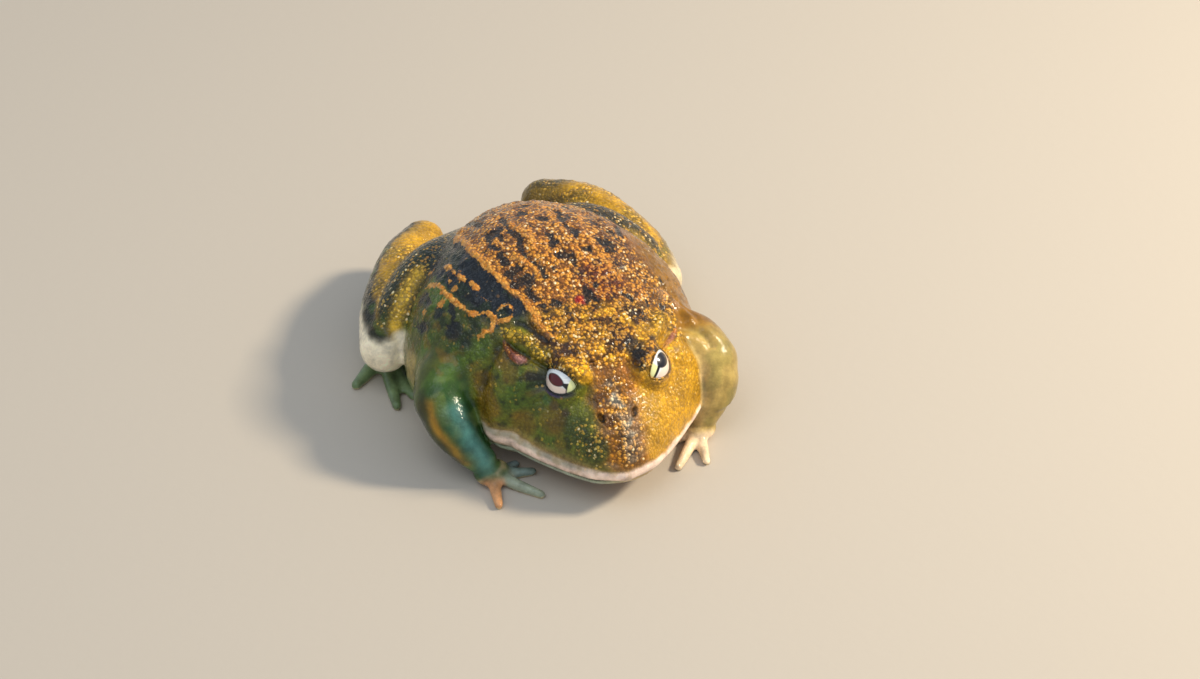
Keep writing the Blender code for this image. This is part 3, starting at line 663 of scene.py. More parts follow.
def blended(points, edges, rounds, weight):
    """Plain averaging, which fills creases and rounds ridges where weight is high."""
    return averaged(points, edges, rounds, weight, BLENDING_STEPS)


def normals_of(points, quads):
    """Unit normal of each point: the sum of its faces' cross products."""
    p = points[quads]
    across = np.cross(p[:, 2] - p[:, 0], p[:, 3] - p[:, 1])
    normal = np.column_stack([
        sum(np.bincount(quads[:, c], across[:, k], len(points)) for c in range(4)) for k in range(3)
    ])
    return normal / np.maximum(np.linalg.norm(normal, axis=1), 1e-9)[:, None]


# ---------------------------------------------------------------- fields: numbers at every point of the skin


def ramp(value, low, high):
    """0 under low, 1 over high, smooth between."""
    t = np.clip((value - low) / (high - low), 0, 1)
    return t * t * (3 - 2 * t)


def hump(value, width):
    """1 at zero, falling off as a bell of the given half width."""
    return np.exp(-((value / width) ** 2))


def lattice_random(cells, seed):
    """A repeatable random number in 0 to 1 for each whole-number cell."""
    mixed = (cells * np.array([73856093, 19349663, 83492791])).sum(axis=-1) + seed * 2654435761
    mixed = (mixed ^ (mixed >> 13)) * 1274126177 & 0xFFFFFFFF
    mixed = (mixed ^ (mixed >> 16)) * 2246822519 & 0xFFFFFFFF
    return (mixed ^ (mixed >> 15)) / 4294967295.0


def wavy(points, size, seed):
    """Smooth random waves of the given size in mm, from 0 to 1: corner values of cells, blended."""
    place = points / size
    low = np.floor(place).astype(np.int64)
    t = place - low
    t = t * t * (3 - 2 * t)
    total = 0
    for corner in np.ndindex(2, 2, 2):
        share = np.prod(np.where(np.array(corner) == 1, t, 1 - t), axis=1)
        total = total + share * lattice_random(low + np.array(corner), seed)
    return total


def warts(points, spacing, seed, share=1.0):
    """Domes scattered one to a cell of the given spacing in mm: the height of the highest, 0 to 1."""
    place = points / spacing
    low = np.floor(place).astype(np.int64)
    height = np.zeros(len(points))
    for offset in np.ndindex(3, 3, 3):
        cell = low + np.array(offset) - 1
        middle = cell + np.stack([lattice_random(cell, seed + k) for k in range(3)], axis=-1)
        size = 0.3 + 0.35 * lattice_random(cell, seed + 3)
        away = np.linalg.norm(place - middle, axis=1) / size
        here = lattice_random(cell, seed + 4) < share
        height = np.maximum(height, np.where(here, np.clip(1 - away**2, 0, 1) * size / 0.65, 0))
    return height


def to_line(points, line):
    """Distance from each point to a bent line, and how far along the line that is, 0 to 1."""
    line = np.asarray(line, float)
    nearest = np.full(len(points), np.inf)
    place = np.zeros(len(points))
    for n, (start, end) in enumerate(zip(line, line[1:])):
        run = end - start
        t = np.clip(((points - start) @ run) / max(run @ run, 1e-9), 0, 1)
        away = np.linalg.norm(points - start - t[:, None] * run, axis=1)
        closer = away < nearest
        nearest = np.where(closer, away, nearest)
        place = np.where(closer, (n + t) / (len(line) - 1), place)
    return nearest, place


def rounded(line, count=40):
    """A smooth curve through a short list of points."""
    line = np.asarray(line, float)
    ends = np.linspace(0, 1, len(line))
    t = np.linspace(0, 1, count)
    return np.column_stack([along(ends, line[:, k], t) for k in range(line.shape[1])])


def tapered(place, reach):
    """1 along a line, fading out towards both ends over this share of its length."""
    return ramp(np.minimum(place, 1 - place), -0.02, reach)


def around(points, places, width):
    """The highest of some bells of this width, one round each place."""
    return np.max([hump(np.linalg.norm(points - place, axis=1), width) for place in places], axis=0)


def limb_shares(points):
    """How near each point is to each limb form: 1 on its surface, fading over a few millimetres."""
    shares = {}
    for name, joints in limb_forms().items():
        path = rounded(joints, 16)
        nearest, place = to_line(points, path[:, :3])
        radius = np.interp(place, np.linspace(0, 1, 16), path[:, 3])
        shares[name] = (1 - ramp(nearest - radius, 0.6, 2.6), place)
    return shares


# ---------------------------------------------------------------- the skin's relief


def eye_frame(sign):
    """Centre of an eyeball and the three directions of its slit, turned about the last by the slit's roll."""
    roll = math.radians(EYE_ROLLS[sign]) * sign
    spun = np.array([[math.cos(roll), -math.sin(roll), 0], [math.sin(roll), math.cos(roll), 0], [0, 0, 1]])
    return from_head(EYE_PLACES[sign]), looking(EYE_AXES[sign]) @ spun


def slit_measure(fore, rise, sign):
    """1 on the edge of the slit between the lids, which is pointed behind and blunter in front."""
    rear, front, over, under = LID_OPENINGS[sign]
    high = np.where(rise > 0, over, under)
    long = np.where(fore > 0, front, rear)
    power = np.where(fore > 0, LID_POWERS[1], LID_POWERS[0])
    return (np.abs(fore / long) ** 2 + np.abs(rise / high) ** power) ** 0.6


def slit_place(points, sign):
    """Places round an eye: level and upward distance on the lid, the distance from the eye's middle, and the
    slit's own measure, which is 1 on its edge."""
    centre, turn = eye_frame(sign)
    local = (points - centre) @ turn
    r = np.linalg.norm(local, axis=1)
    level, rise = (local[:, k] / np.maximum(r, 1e-6) * LID_RADIUS for k in range(2))
    fore = -sign * level
    before = (local[:, 2] > 0) & (r < SLIT_REACH)
    return fore, rise, r, np.where(before, slit_measure(fore, rise, sign), FAR_OUTSIDE)


def laid_on(curve, points):
    """A curve, with each of its points moved to the nearest point of the skin."""
    return np.array([points[np.argmin(((points - place) ** 2).sum(axis=1))] for place in curve])


def nostril_measure(head, sign, halves):
    """1 on the edge of a slanting oval with these halves round the nostril."""
    run = outward(sign, [NOSTRIL_RUN])[0]
    arm = head - outward(sign, [NOSTRIL_PLACE])[0]
    long = arm @ run
    wide = np.linalg.norm(arm - long[:, None] * run, axis=1)
    return np.hypot(long / halves[0], wide / halves[1])


def drum_place(head, sign):
    """Measure of the eardrum's drop shape, 1 on its edge, how far forward on it a place lies, 0 to 1, and how
    far up from its bowed middle line, in mm. The drop widens forward, fastest by the tail, and ends in a
    half round."""
    tail, front, halves = (np.array(part) for part in DRUMS[sign])
    reach = np.linalg.norm(front - tail)
    axis = (front - tail) / reach
    slope = np.array(DRUM_SLOPE) * (sign, 1, 1)
    slope -= axis * (slope @ axis)
    slope /= np.linalg.norm(slope)
    arm = head - tail
    ahead = arm @ axis / reach
    rise = arm @ slope + DRUM_BOW * 4 * ahead * (1 - ahead)
    half = halves[0] + (halves[1] - halves[0]) * np.clip(ahead / 0.8, 0, 1) ** 0.65
    end = np.maximum(ahead - 0.75, 0) / 0.25
    beside = np.abs(arm @ np.cross(axis, slope)) < DRUM_DEPTH
    oval = np.where(beside & (ahead > 0), np.hypot(end, rise / half), FAR_OUTSIDE)
    return oval, ahead, rise


def ridge_fields(points):
    """Distance in mm outside the nearest back ridge's edge, and the ridges' height; waves break both up."""
    flat = points[:, :2]
    level = wavy(points, 3.2, 11)
    fine = wavy(points, 1.3, 12)
    stray = 0.8 * (wavy(points, 4.0, 13) - 0.5) + 0.8 * (wavy(points, 1.8, 14) - 0.5)
    outside = np.full(len(points), FAR_OUTSIDE)
    height = np.zeros(len(points))
    for line, half, tall in BACK_LINES:
        away, place = to_line(flat, rounded(line, 30))
        away = np.abs(away + stray)
        own = half * (0.25 + 1.4 * level) * (0.6 + 0.4 * ramp(np.minimum(place, 1 - place), 0, 0.08))
        outside = np.minimum(outside, away - own)
        height = np.maximum(height, tall * (0.45 + 0.8 * fine) * hump(away, 0.5 + own) * ramp(own, 0.15, 0.6))
    return outside, height


def dash_field(points):
    """Distance in mm outside the nearest dark dash, with ragged edges; smaller ones are scattered between the
    ridges where waves, drawn out along them, are low."""
    run = np.array(DASH_RUN)
    outside = np.full(len(points), FAR_OUTSIDE)
    flat = points[:, :2]
    flat = flat + 1.5 * (np.column_stack([wavy(points, 2.2, seed) for seed in (15, 16)]) - 0.5)
    flat = flat + 0.9 * (np.column_stack([wavy(points, 0.9, seed) for seed in (18, 19)]) - 0.5)
    for line, half in DASHES:
        away, _ = to_line(flat, line)
        outside = np.minimum(outside, away - half)
    drawn_out = np.column_stack([flat @ (-run[1], run[0]), flat @ run / 2.3, points[:, 2] / 2])
    return np.minimum(outside, (wavy(drawn_out, 2.2, 17) - 0.2) * 9)


def mouth_lines(head):
    """Height of the mouth slit and width of the lip over it at head places, from the tables of both sides."""
    right = ramp(-head[:, 0], 0, 12)
    slit, lip = (
        [np.interp(head[:, 1], MOUTH_S, table[side]) for side in (1, -1)] for table in (MOUTH_Z, LIP_WIDTHS)
    )
    return slit[0] + (slit[1] - slit[0]) * right, lip[0] + (lip[1] - lip[0]) * right


class Skin:
    """The numbers that both the relief and the markings are worked out from, at every point of the skin."""

    def __init__(self, points, normal):
        self.points, self.normal = points, normal
        self.x, self.y, self.z = points.T
        self.head = to_head(points)
        self.side, self.ahead, self.up = self.head.T
        self.shares = limb_shares(points)
        limbs = [share for share, _ in self.shares.values()]
        self.limb = np.max(limbs, axis=0)
        self.on_head = ramp(self.ahead, -14, -8) * (1 - self.limb)
        edge = np.array(EDGE_RIDGE)[::-1]
        self.across = self.x - np.interp(self.y, edge[:, 1], edge[:, 0])
        slit, self.lip_width = mouth_lines(self.head)
        self.mouth = self.z - slit
        self.mouth_share = ramp(self.ahead, -7.5, -4.5) * (1 - ramp(self.limb, 0.3, 0.9))
        self.ridge, self.ridge_height = ridge_fields(points)
        self.dash = dash_field(points)
        self.back = ramp(self.z, 27, 34) * ramp(normal[:, 2], 0.05, 0.35) * (1 - self.limb)
        self.back = self.back * (1 - ramp(self.ahead, -7, -1))

    def share(self, *names):
        """How much of a limb form, or of the most of several, a point belongs to."""
        found = [share for name, (share, _) in self.shares.items() if name.startswith(names)]
        return np.max(found, axis=0)

    def from_line(self, line, sign):
        """Distance from a line of the head, laid on the skin of one side, and the place along it, 0 to 1."""
        curve = from_head(rounded(outward(sign, line), LINE_POINTS))
        return to_line(self.points, laid_on(curve, self.points))


def face_relief(skin):
    """Heights of the mouth, lips, nostrils, eardrums and the folds of the head, in mm along the normal."""
    lip, share = skin.mouth, skin.mouth_share
    height = share * (
        -1.1 * hump(lip + 0.1, 0.4)
        + (0.45 + 0.5 * ramp(-skin.side, 8, 20)) * hump(lip - 0.5 * skin.lip_width, 0.45 * skin.lip_width)
        - 0.3 * hump(lip - skin.lip_width - 0.3, 0.6)
        + 0.3 * hump(lip + 2.0, 1.1)
    )
    for sign in SIDES.values():
        pit = nostril_measure(skin.head, sign, NOSTRIL_PIT)
        height += 0.5 * hump(pit - 1.6, 0.45) - 1.5 * hump(pit, 1.0)
        bridge, _ = to_line(skin.head, outward(sign, NOSE_BRIDGE))
        height += 0.4 * hump(bridge, 2.2)
        for line, tall, width in HEAD_FOLDS:
            away, place = skin.from_line(line, sign)
            height += tall * hump(away, width) * tapered(place, 0.12)
        oval, _, _ = drum_place(skin.head, sign)
        height += 0.45 * (1 - ramp(oval, 0.2, 1.0)) - 0.55 * hump(oval - 1.25, 0.3)
        _, rise, _, slit = slit_place(skin.points, sign)
        over, under = ramp(rise, 0, 3), ramp(-rise, 0, 3)
        height += 0.5 * over * hump(slit - 1.5, 0.3) - 0.35 * under * hump(slit - 1.75, 0.16)
    away, place = to_line(skin.points, laid_on(rounded(SHOULDER_FOLD, LINE_POINTS), skin.points))
    height += tapered(place, 0.15) * (0.9 * hump(away, 1.3) - 0.5 * hump(away - 2.6, 0.8))
    return height


def body_relief(skin, settings):
    """Heights of the back's ridges, dashes and warts, in mm along the normal."""
    rough = np.clip(skin.back + 0.75 * skin.on_head * ramp(skin.up, 30, 38) + 0.6 * skin.share("shank"), 0, 1)
    rough = rough * ramp(skin.normal[:, 2], -0.2, 0.35)
    flank = (1 - skin.limb) * ramp(skin.z, 8, 20) * (1 - rough) * (1 - 0.6 * skin.on_head)
    small = warts(skin.points, 2.1, 31, 0.75)
    large = warts(skin.points, 4.6, 41, 0.5)
    height = rough * (0.75 * small + 0.9 * large) + flank * (0.3 * small + 0.7 * large)
    height *= settings.wart_height
    height += skin.back * skin.ridge_height
    height -= 0.35 * skin.back * (1 - ramp(skin.dash, -0.6, 0.6))
    height += 0.18 * (wavy(skin.points, 6.0, 51) - 0.5)
    return height


def lids_opened(points):
    """Sinks the skin behind each eyeball inside the slit, and draws it close round the slit's edge."""
    for sign in SIDES.values():
        centre, _ = eye_frame(sign)
        _, _, r, slit = slit_place(points, sign)
        inside, rim = (EYE_RADIUS + depth for depth in LID_DEPTHS)
        wanted = inside + (rim - inside) * ramp(slit, 0.97, 1.07)
        wanted = wanted + (r - wanted) * ramp(slit, 1.1, 1.6)
        factor = np.where(slit < 1.6, wanted / np.maximum(r, 1e-6), 1.0)
        points = centre + (points - centre) * factor[:, None]
    return points


def jaw_drawn_in(points):
    """Moves the lower jaw a little inside the upper lip."""
    head = to_head(points)
    below = mouth_lines(head)[0] - head[:, 2]
    share = ramp(below, 0.1, 1.0) * ramp(head[:, 1], -10, -4) * (1 - 0.7 * ramp(-head[:, 0], 0, 12))
    head[:, 0] *= 1 - JAW_INSET * share
    head[:, 1] -= JAW_INSET * share * (head[:, 1] + JAW_BACK)
    return from_head(head)


def lid_rims():
    """A thin wet cord of skin round each slit: a circle carried along the slit's edge, on the eyeball."""
    angle = np.linspace(0, 2 * math.pi, 120, endpoint=False)
    rims = []
    for sign in SIDES.values():
        centre, turn = eye_frame(sign)
        rear, front, over, under = LID_OPENINGS[sign]
        fore = np.where(np.cos(angle) > 0, front, rear) * np.cos(angle)
        power = np.where(fore > 0, LID_POWERS[1], LID_POWERS[0])
        high = np.where(angle < math.pi, over, under)
        rise = high * np.sign(np.sin(angle)) * np.abs(np.sin(angle)) ** (2 / power)
        level = -sign * fore
        out = np.sqrt(LID_RADIUS**2 - level**2 - rise**2)
        middle = np.column_stack([level, rise, out]) * (EYE_RADIUS + LID_RIM_LIFT) / LID_RADIUS
        ahead = np.roll(middle, -1, axis=0) - np.roll(middle, 1, axis=0)
        ahead /= np.linalg.norm(ahead, axis=1)[:, None]
        away = middle / np.linalg.norm(middle, axis=1)[:, None]
        aside = np.cross(ahead, away)
        turned = np.linspace(0, 2 * math.pi, 10, endpoint=False)[None, :, None]
        spoke = away[:, None] * np.sin(turned) * LID_RIM[0] + aside[:, None] * np.cos(turned) * LID_RIM[1]
        rings = (middle[:, None] + spoke) @ turn.T + centre
        rims.append(closed_loop(rings))
    return rims


def closed_loop(rings):
    """Points and quads of rings joined in order, the last one to the first."""
    rows, columns = rings.shape[:2]
    grid = np.arange(rows * columns).reshape(rows, columns)
    below, beside = np.roll(grid, -1, axis=0), np.roll(grid, -1, axis=1)
    both = np.roll(below, -1, axis=1)
    quads = np.stack([grid, beside, both, below], axis=-1).reshape(-1, 4)
    points = rings.reshape(-1, 3)
    own_middle = np.repeat(rings.mean(axis=1), columns, axis=0)
    normal = normals_of(points, quads)
    if ((points - own_middle) * normal).sum() < 0:
        quads = quads[:, ::-1]
    return points, quads


def skin_surface(settings):
    """Points and quads of the whole skin, in the design frame."""
    points, faces = merged(flesh_surfaces())
    points, quads = voxel_union(magnified(points, settings), faces, settings.voxel / MM)
    points = magnified(points, settings, back=True)
    edges = edges_of(quads)
    points = relaxed(points, edges, 8)
    head = to_head(points)
    neck = hump(head[:, 1] + 13, 8) * ramp(points[:, 2], 10, 18)
    creases = around(points, GROINS, CREASE_REACHES[0]) + around(points, ARMPITS, CREASE_REACHES[1])
    points = blended(points, edges, 60, neck)
    points = blended(points, edges, 24, np.clip(creases, 0, 1))
    points = jaw_drawn_in(points)
    skin = Skin(points, normals_of(points, quads))
    points = points + skin.normal * (face_relief(skin) + body_relief(skin, settings))[:, None]
    points = relaxed(points, edges, 1, 0.5)
    points = lids_opened(points)
    points[:, 2] = np.where(points[:, 2] < GROUNDED, 0, points[:, 2])
    for rim_points, rim_quads in lid_rims():
        quads = np.vstack([quads, rim_quads + len(points)])
        points = np.vstack([points, rim_points])
    return points, quads


# ---------------------------------------------------------------- markings


def linear(code):
    """An sRGB hex colour as linear red, green, blue and an alpha of 1."""
    parts = [int(code[i : i + 2], 16) / 255 for i in (1, 3, 5)]
    return (*(p / 12.92 if p <= 0.04045 else ((p + 0.055) / 1.055) ** 2.4 for p in parts), 1.0)


def colour(name, description, code):
    """A colour setting, whose default is an sRGB hex colour."""
    return FloatVectorProperty(
        name=name, description=description, subtype="COLOR", size=4, min=0, max=1, default=linear(code)
    )


def length(name, description, default, low, high):
    """A length setting in metres."""
    return FloatProperty(
        name=name, description=description, default=default, min=low, max=high, unit="LENGTH", precision=5
    )


def strength(name, sign):
    """How strongly a marking shows on the side with this sign."""
    right, left = STRENGTHS[name]
    return right if sign < 0 else left


class Paint:
    """A colour at every point, laid on in layers of named tints."""

    def __init__(self, tint, first, count):
        self.tint = tint
        self.colours = np.tile(tint[first], (count, 1))

    def lay(self, name, share):
        """Mixes a tint in by its share at each point."""
        self.colours = self.colours + (self.tint[name] - self.colours) * np.clip(share, 0, 1)[:, None]

    def layer(self):
        """The colours with an alpha of 1."""
        return np.column_stack([self.colours, np.ones(len(self.colours))])


class SkinPaint(Paint):
    """The skin's paint, with the waves that break its layers up and the areas that several layers share."""

    def __init__(self, skin, tint):
        super().__init__(tint, "back", len(skin.points))
        self.blotch, self.patch, self.fleck = (
            wavy(skin.points, size, seed) for size, seed in ((7.0, 61), (4.0, 62), (2.0, 63))
        )
        self.ragged = 3.0 * (self.patch - 0.5) + 2.0 * (self.fleck - 0.5)
        self.across = skin.across + 0.6 * self.ragged
        self.crown = skin.on_head * ramp(skin.up + 0.3 * self.ragged, 37, 40)
        self.crown *= 1 - ramp(np.abs(skin.side + 1), 17, 21)
        self.snout = skin.on_head * hump(skin.side - 0.5, 5.5) * ramp(skin.ahead, 8, 13)
        self.snout *= ramp(skin.mouth, 4, 7)
        self.jaw = skin.mouth_share * (1 - ramp(skin.mouth, -0.6, 0.2))
        self.over = skin.mouth + 0.25 * self.ragged
        self.lip = skin.mouth_share * ramp(skin.mouth, -0.2, 0.2)
        self.lip *= 1 - ramp(self.over, skin.lip_width - 0.4, skin.lip_width + 0.4)
        self.bare = np.zeros(len(skin.points))
        self.drums = {sign: drum_place(skin.head, sign) for sign in SIDES.values()}
        self.supra = {sign: skin.from_line(SUPRA_RIDGE, sign)[0] for sign in SIDES.values()}

    def blotches(self, table, points, uneven, area):
        """Lays round patches on an area, each by its colour, place, reach and strength."""
        for name, place, reach, most in table:
            away = np.linalg.norm(points - place, axis=1) + uneven * self.ragged
            self.lay(name, most * (1 - ramp(away, 0.6 * reach, 1.1 * reach)) * area)


def paint_trunk(skin, paint):
    """Lays the trunk's colours on, from the back down to the belly."""
    lay, patch, across = paint.lay, paint.patch, paint.across
    beside = 1 - ramp(across, -1.2, 0.2)
    lay("navy", beside)
    lay("dark_green", beside * ramp(patch, 0.5, 0.62) * 0.85)
    # The right side's greens are partly painted shade, and the left side's warm yellows partly painted light.
    low = np.maximum(1 - ramp(across, -14.5, -11.5), ramp(37 - skin.z, 0, 4) * ramp(-skin.x, 2, 18))
    lay("olive", low)
    lay("dark_green", low * ramp(patch, 0.5, 0.7) * ramp(skin.z, 30, 36) * 0.8)
    lay("leaf", low * ramp(paint.blotch, 0.5, 0.75) * 0.8)
    lay("cheek_brown", low * ramp(paint.fleck, 0.62, 0.8) * 0.5)
    lay("brown", ramp(across, 30, 44) * 0.9)
    # Warm yellow of the left flank: its own colour, warmed further as painted light.
    lay("flank", ramp(skin.x + paint.ragged, 27, 35) + ramp(38 - skin.z, 0, 8) * ramp(skin.x, 14, 30))
    lay("pale", (1 - ramp(skin.z, 5, 20)) * 0.85)
    lay("belly", 1 - ramp(skin.z, 1, 9))
    paint.blotches(BODY_BLOTCHES, skin.points, 0.6, 1 - skin.limb)


def paint_head(skin, paint):
    """Lays the head's colours on: green right cheek and golden left cheek, partly painted shade and light,
    then crown and snout.
    """
    lay, patch, fleck, blotch = paint.lay, paint.patch, paint.fleck, paint.blotch
    by_lip = ramp(8 - skin.mouth, -2, 4) * (0.35 + 0.4 * ramp(patch, 0.45, 0.6))
    # Green right cheek, partly painted shade, and golden left cheek, partly painted light.
    lay("cheek_right", skin.on_head * ramp(-skin.side + paint.ragged, 3, 9))
    lay("leaf", skin.on_head * ramp(-skin.side, 10, 16) * ramp(blotch, 0.5, 0.75) * 0.7)
    lay("cheek_brown", skin.on_head * ramp(-skin.side, 12, 20) * ramp(patch, 0.55, 0.75) * 0.6)
    lay("dark_green", skin.on_head * ramp(-skin.side, 8, 14) * ramp(fleck, 0.62, 0.78) * 0.7)
    lay("ochre", skin.on_head * ramp(-skin.side, 8, 16) * by_lip)
    lay("cheek_left", skin.on_head * ramp(skin.side + paint.ragged, 5, 10))
    crown, snout = paint.crown, paint.snout
    lay("crown", crown)
    lay("dark_brown", crown * np.maximum(ramp(patch, 0.5, 0.62), ramp(fleck, 0.58, 0.68)) * 0.8)
    lay("dark_brown", crown * ramp(blotch, 0.56, 0.66) * 0.75)
    lay("brow", crown * ramp(0.6 * (1 - patch) + 0.4 * (1 - fleck), 0.56, 0.66) * 0.6)
    lay("crown", snout * 0.9)
    # Painted sheen: pale grey patches of wet shine towards the snout's tip.
    lay("silver", snout * ramp(skin.ahead, 13, 26) * ramp(patch, 0.4, 0.55) * 0.5)
    lay("dark_brown", snout * ramp(fleck, 0.54, 0.64) * 0.7)
    paint.blotches(HEAD_BLOTCHES, skin.head, 0.35, skin.on_head)
    # Painted sheen along a line down the snout.
    wet, _ = to_line(skin.head, rounded(SHEEN_LINE, 12))
    lay("silver", hump(wet, 1.5) * ramp(fleck, 0.35, 0.55) * 0.95)


def paint_mouth(skin, paint):
    """Lays the jaw's and lips' colours on; the right lip is pale in the middle and grey at its edges: painted
    light and shade.
    """
    lay, lip, over, share = paint.lay, paint.lip, paint.over, skin.mouth_share
    lay("jaw_right", paint.jaw * ramp(-skin.side, -6, 10))
    lay("throat", paint.jaw * ramp(skin.side, -2, 12))
    lay("throat", paint.jaw * (1 - ramp(skin.up, 5, 9)))
    level = over / skin.lip_width
    above = ramp(skin.mouth, 0, 1) * (1 - ramp(over, skin.lip_width, skin.lip_width + 3.5))
    # The right lip's roll: painted shade on its upper and lower edges, and its pale middle standing as a
    # painted highlight.
    edges = np.maximum(ramp(level, 0.6, 0.8), 0.7 * (1 - ramp(level, 0.15, 0.35)))
    lay("lip_line", share * above * 0.7 * ramp(-skin.side, 4, 14))
    lay("lip", lip)
    lay("lip_grey", lip * ramp(-skin.side, 6, 18) * edges)
    lay("lip_line", lip * ramp(paint.fleck, 0.6, 0.8) * 0.4)
    lay("lip_line", share * hump(over - skin.lip_width - 0.3, 0.45) * 0.6 * ramp(-skin.side, -12, 6))


def paint_arm(skin, paint, side, sign):
    """Lays an arm's colours on: mottled ground, a line down its middle, dark outer side and fingers."""
    lay, ragged = paint.lay, paint.ragged
    flip = skin.points * (sign, 1, 1)
    arm = skin.share(f"upper_arm_{side}", f"forearm_{side}", f"finger_{side}")
    arm = arm * (1 - ramp(skin.z, 29, 36)) * ramp(ARM_STARTS[sign] - skin.y + 0.6 * ragged, -3.0, 3.0)
    teal, _ = to_line(flip, ARM_TEAL)
    edge, _ = to_line(flip, ARM_LINE)
    height, border = np.array(ARM_BORDER).T
    outside = ramp(flip[:, 0] - np.interp(-skin.z, -height, border), 0, 1.6)
    # The right arm's green and blue-green middle are partly painted sky-lit shade; the left arm's beige and
    # pale middle partly painted light.
    lay(f"arm_{side}", arm)
    lay("arm_mottle", arm * ramp(paint.patch, 0.52, 0.7) * strength("arm_mottle", sign))
    lay(f"arm_middle_{side}", arm * hump(teal + 0.3 * ragged, 3.4) * 0.85)
    lay("arm_outer", arm * outside * strength("arm_outer", sign))
    lay("arm_edge", arm * hump(edge + 0.3 * ragged, 1.5) * strength("arm_edge", sign))
    for digit in range(len(FORE[side]["finger_tips"])):
        name = f"finger_{side}_{digit}"
        lay(name, skin.share(name) * ramp(6.0 - skin.z, 0, 3) * 0.9)


def paint_leg(skin, paint, side, sign):
    """Lays a hind leg's colours on: dark hip, golden strip and shank, dark outer side, bare knee and foot."""
    lay, patch, ragged = paint.lay, paint.patch, paint.ragged
    thigh, along_thigh = skin.shares[f"thigh_{side}"]
    shank, along_shank = skin.shares[f"shank_{side}"]
    hip = thigh * (1 - ramp(shank, 0.3, 0.7))
    lay("dark_green", hip * 0.85)
    lay("leaf", hip * ramp(patch, 0.5, 0.7) * ramp(30 - skin.z, 0, 5) * 0.7)
    strip, _ = to_line(skin.points * (sign, 1, 1), rounded(THIGH_STRIP, 12))
    strip = hump(strip + 0.3 * ragged, 2.4) * (1 - 0.7 * ramp(shank, 0.5, 0.9))
    lay("thigh", np.maximum(thigh, shank) * strip)
    lay("shank", shank * (1 - strip))
    lay("olive", shank * ramp(paint.blotch, 0.58, 0.72) * 0.35)
    outer = shank * ramp(26.2 - skin.z + 0.5 * ragged, -0.7, 0.9) * ramp(skin.normal[:, 0] * sign, -0.2, 0.3)
    outer = outer * strength("shank_dark", sign)
    lay("shank_dark", outer)
    lay("leaf", outer * ramp(patch, 0.5, 0.68) * 0.6)
    top = KNEE_TOP + 0.5 * np.maximum(KNEE_OUT - np.abs(skin.x), 0) + 0.5 * ragged
    knee = shank * (1 - ramp(along_shank + 0.02 * ragged, 0.22, 0.38))
    knee = np.maximum(knee, thigh * ramp(along_thigh, 0.86, 0.98)) * (1 - ramp(skin.z - top, -1.2, 1.2))
    knee = knee * strength("knee", sign)
    # The bare knee: its own cream, brightened as painted light bounced up from the floor.
    lay("knee", knee)
    paint.bare = np.maximum(paint.bare, knee)
    foot = skin.share(f"foot_{side}", f"toe_{side}") * (1 - ramp(skin.z, 7, 10))
    lay("foot", foot)
    lay("belly", (1 - ramp(skin.z, 0.2, 1.0)) * 0.8)


def paint_ear_and_lids(skin, paint, sign):
    """Lays the colours of one eardrum, of the ridge over it and of the lids on; the lids get painted shade.
    """
    lay, bare = paint.lay, 1 - skin.limb
    oval, forward, _ = paint.drums[sign]
    drum = bare * (1 - ramp(oval, 0.85, 1.1))
    front = ramp(forward, 0.45, 0.75) * ramp(paint.fleck, 0.35, 0.55)
    lay("drum_tail", drum)
    lay("drum", drum * ramp(forward, 0.1, 0.5) * strength("drum", sign))
    lay("drum_front", drum * front * strength("drum_front", sign))
    lay("supra", hump(paint.supra[sign], 1.9) * 0.95 * bare * strength("supra", sign))
    level, rise, _, slit = slit_place(skin.points, sign)
    low_lid = (1 - ramp(slit, 1.14, 1.24)) * (1 - ramp(rise, -2.5, -1.0)) * hump(level, 5.5)
    # Dark olive over the upper lid: its own olive, darkened as painted shadow of the brow.
    high_lid = (1 - ramp(slit, 1.12, 1.26)) * ramp(rise, -1.0, 0.8)
    lay("lid", low_lid * strength("lid", sign))
    lay("lid_green", high_lid * strength("lid_green", sign))
    # Painted shade along the edge of the slit, where the lids overhang the eyeball.
    edge = (1 - ramp(slit, 1.0, 1.04)) * strength("lid_edge", sign)
    lay("lid_edge", edge * (1 - 0.7 * ramp(level, 5.0, 6.5)))


def paint_scab(skin, paint):
    """Lays the small graze on the nape on, as an oval with a ragged edge."""
    x, y, size = SCAB
    outside = np.hypot(skin.x - x, 0.8 * (skin.y - y)) - size + 1.2 * (paint.fleck - 0.5)
    paint.lay("scab", (1 - ramp(outside, -0.3, 0.3)) * ramp(skin.z, 30, 35))


def painted_crease_shade(skin, paint):
    """How dark the painted shade is at a point in the mouth slit, a nostril, a furrow and under an eardrum:
    the most of these.
    """
    lines = [skin.mouth_share * hump(skin.mouth + 0.12, 0.4)]
    for sign in SIDES.values():
        lines.append(1 - ramp(nostril_measure(skin.head, sign, NOSTRIL_DARK), 0.85, 1.15))
        for furrow, share, width in FURROW_SHADES:
            away, place = skin.from_line(furrow, sign)
            lines.append(share * strength("furrow", sign) * hump(away, width) * tapered(place, 0.12))
        # Painted shade under the eardrum's lower edge.
        oval, _, rise = paint.drums[sign]
        lines.append(0.85 * hump(oval - 1.25, 0.22) * ramp(-rise, 0, 0.6))
    return np.maximum.reduce(lines)


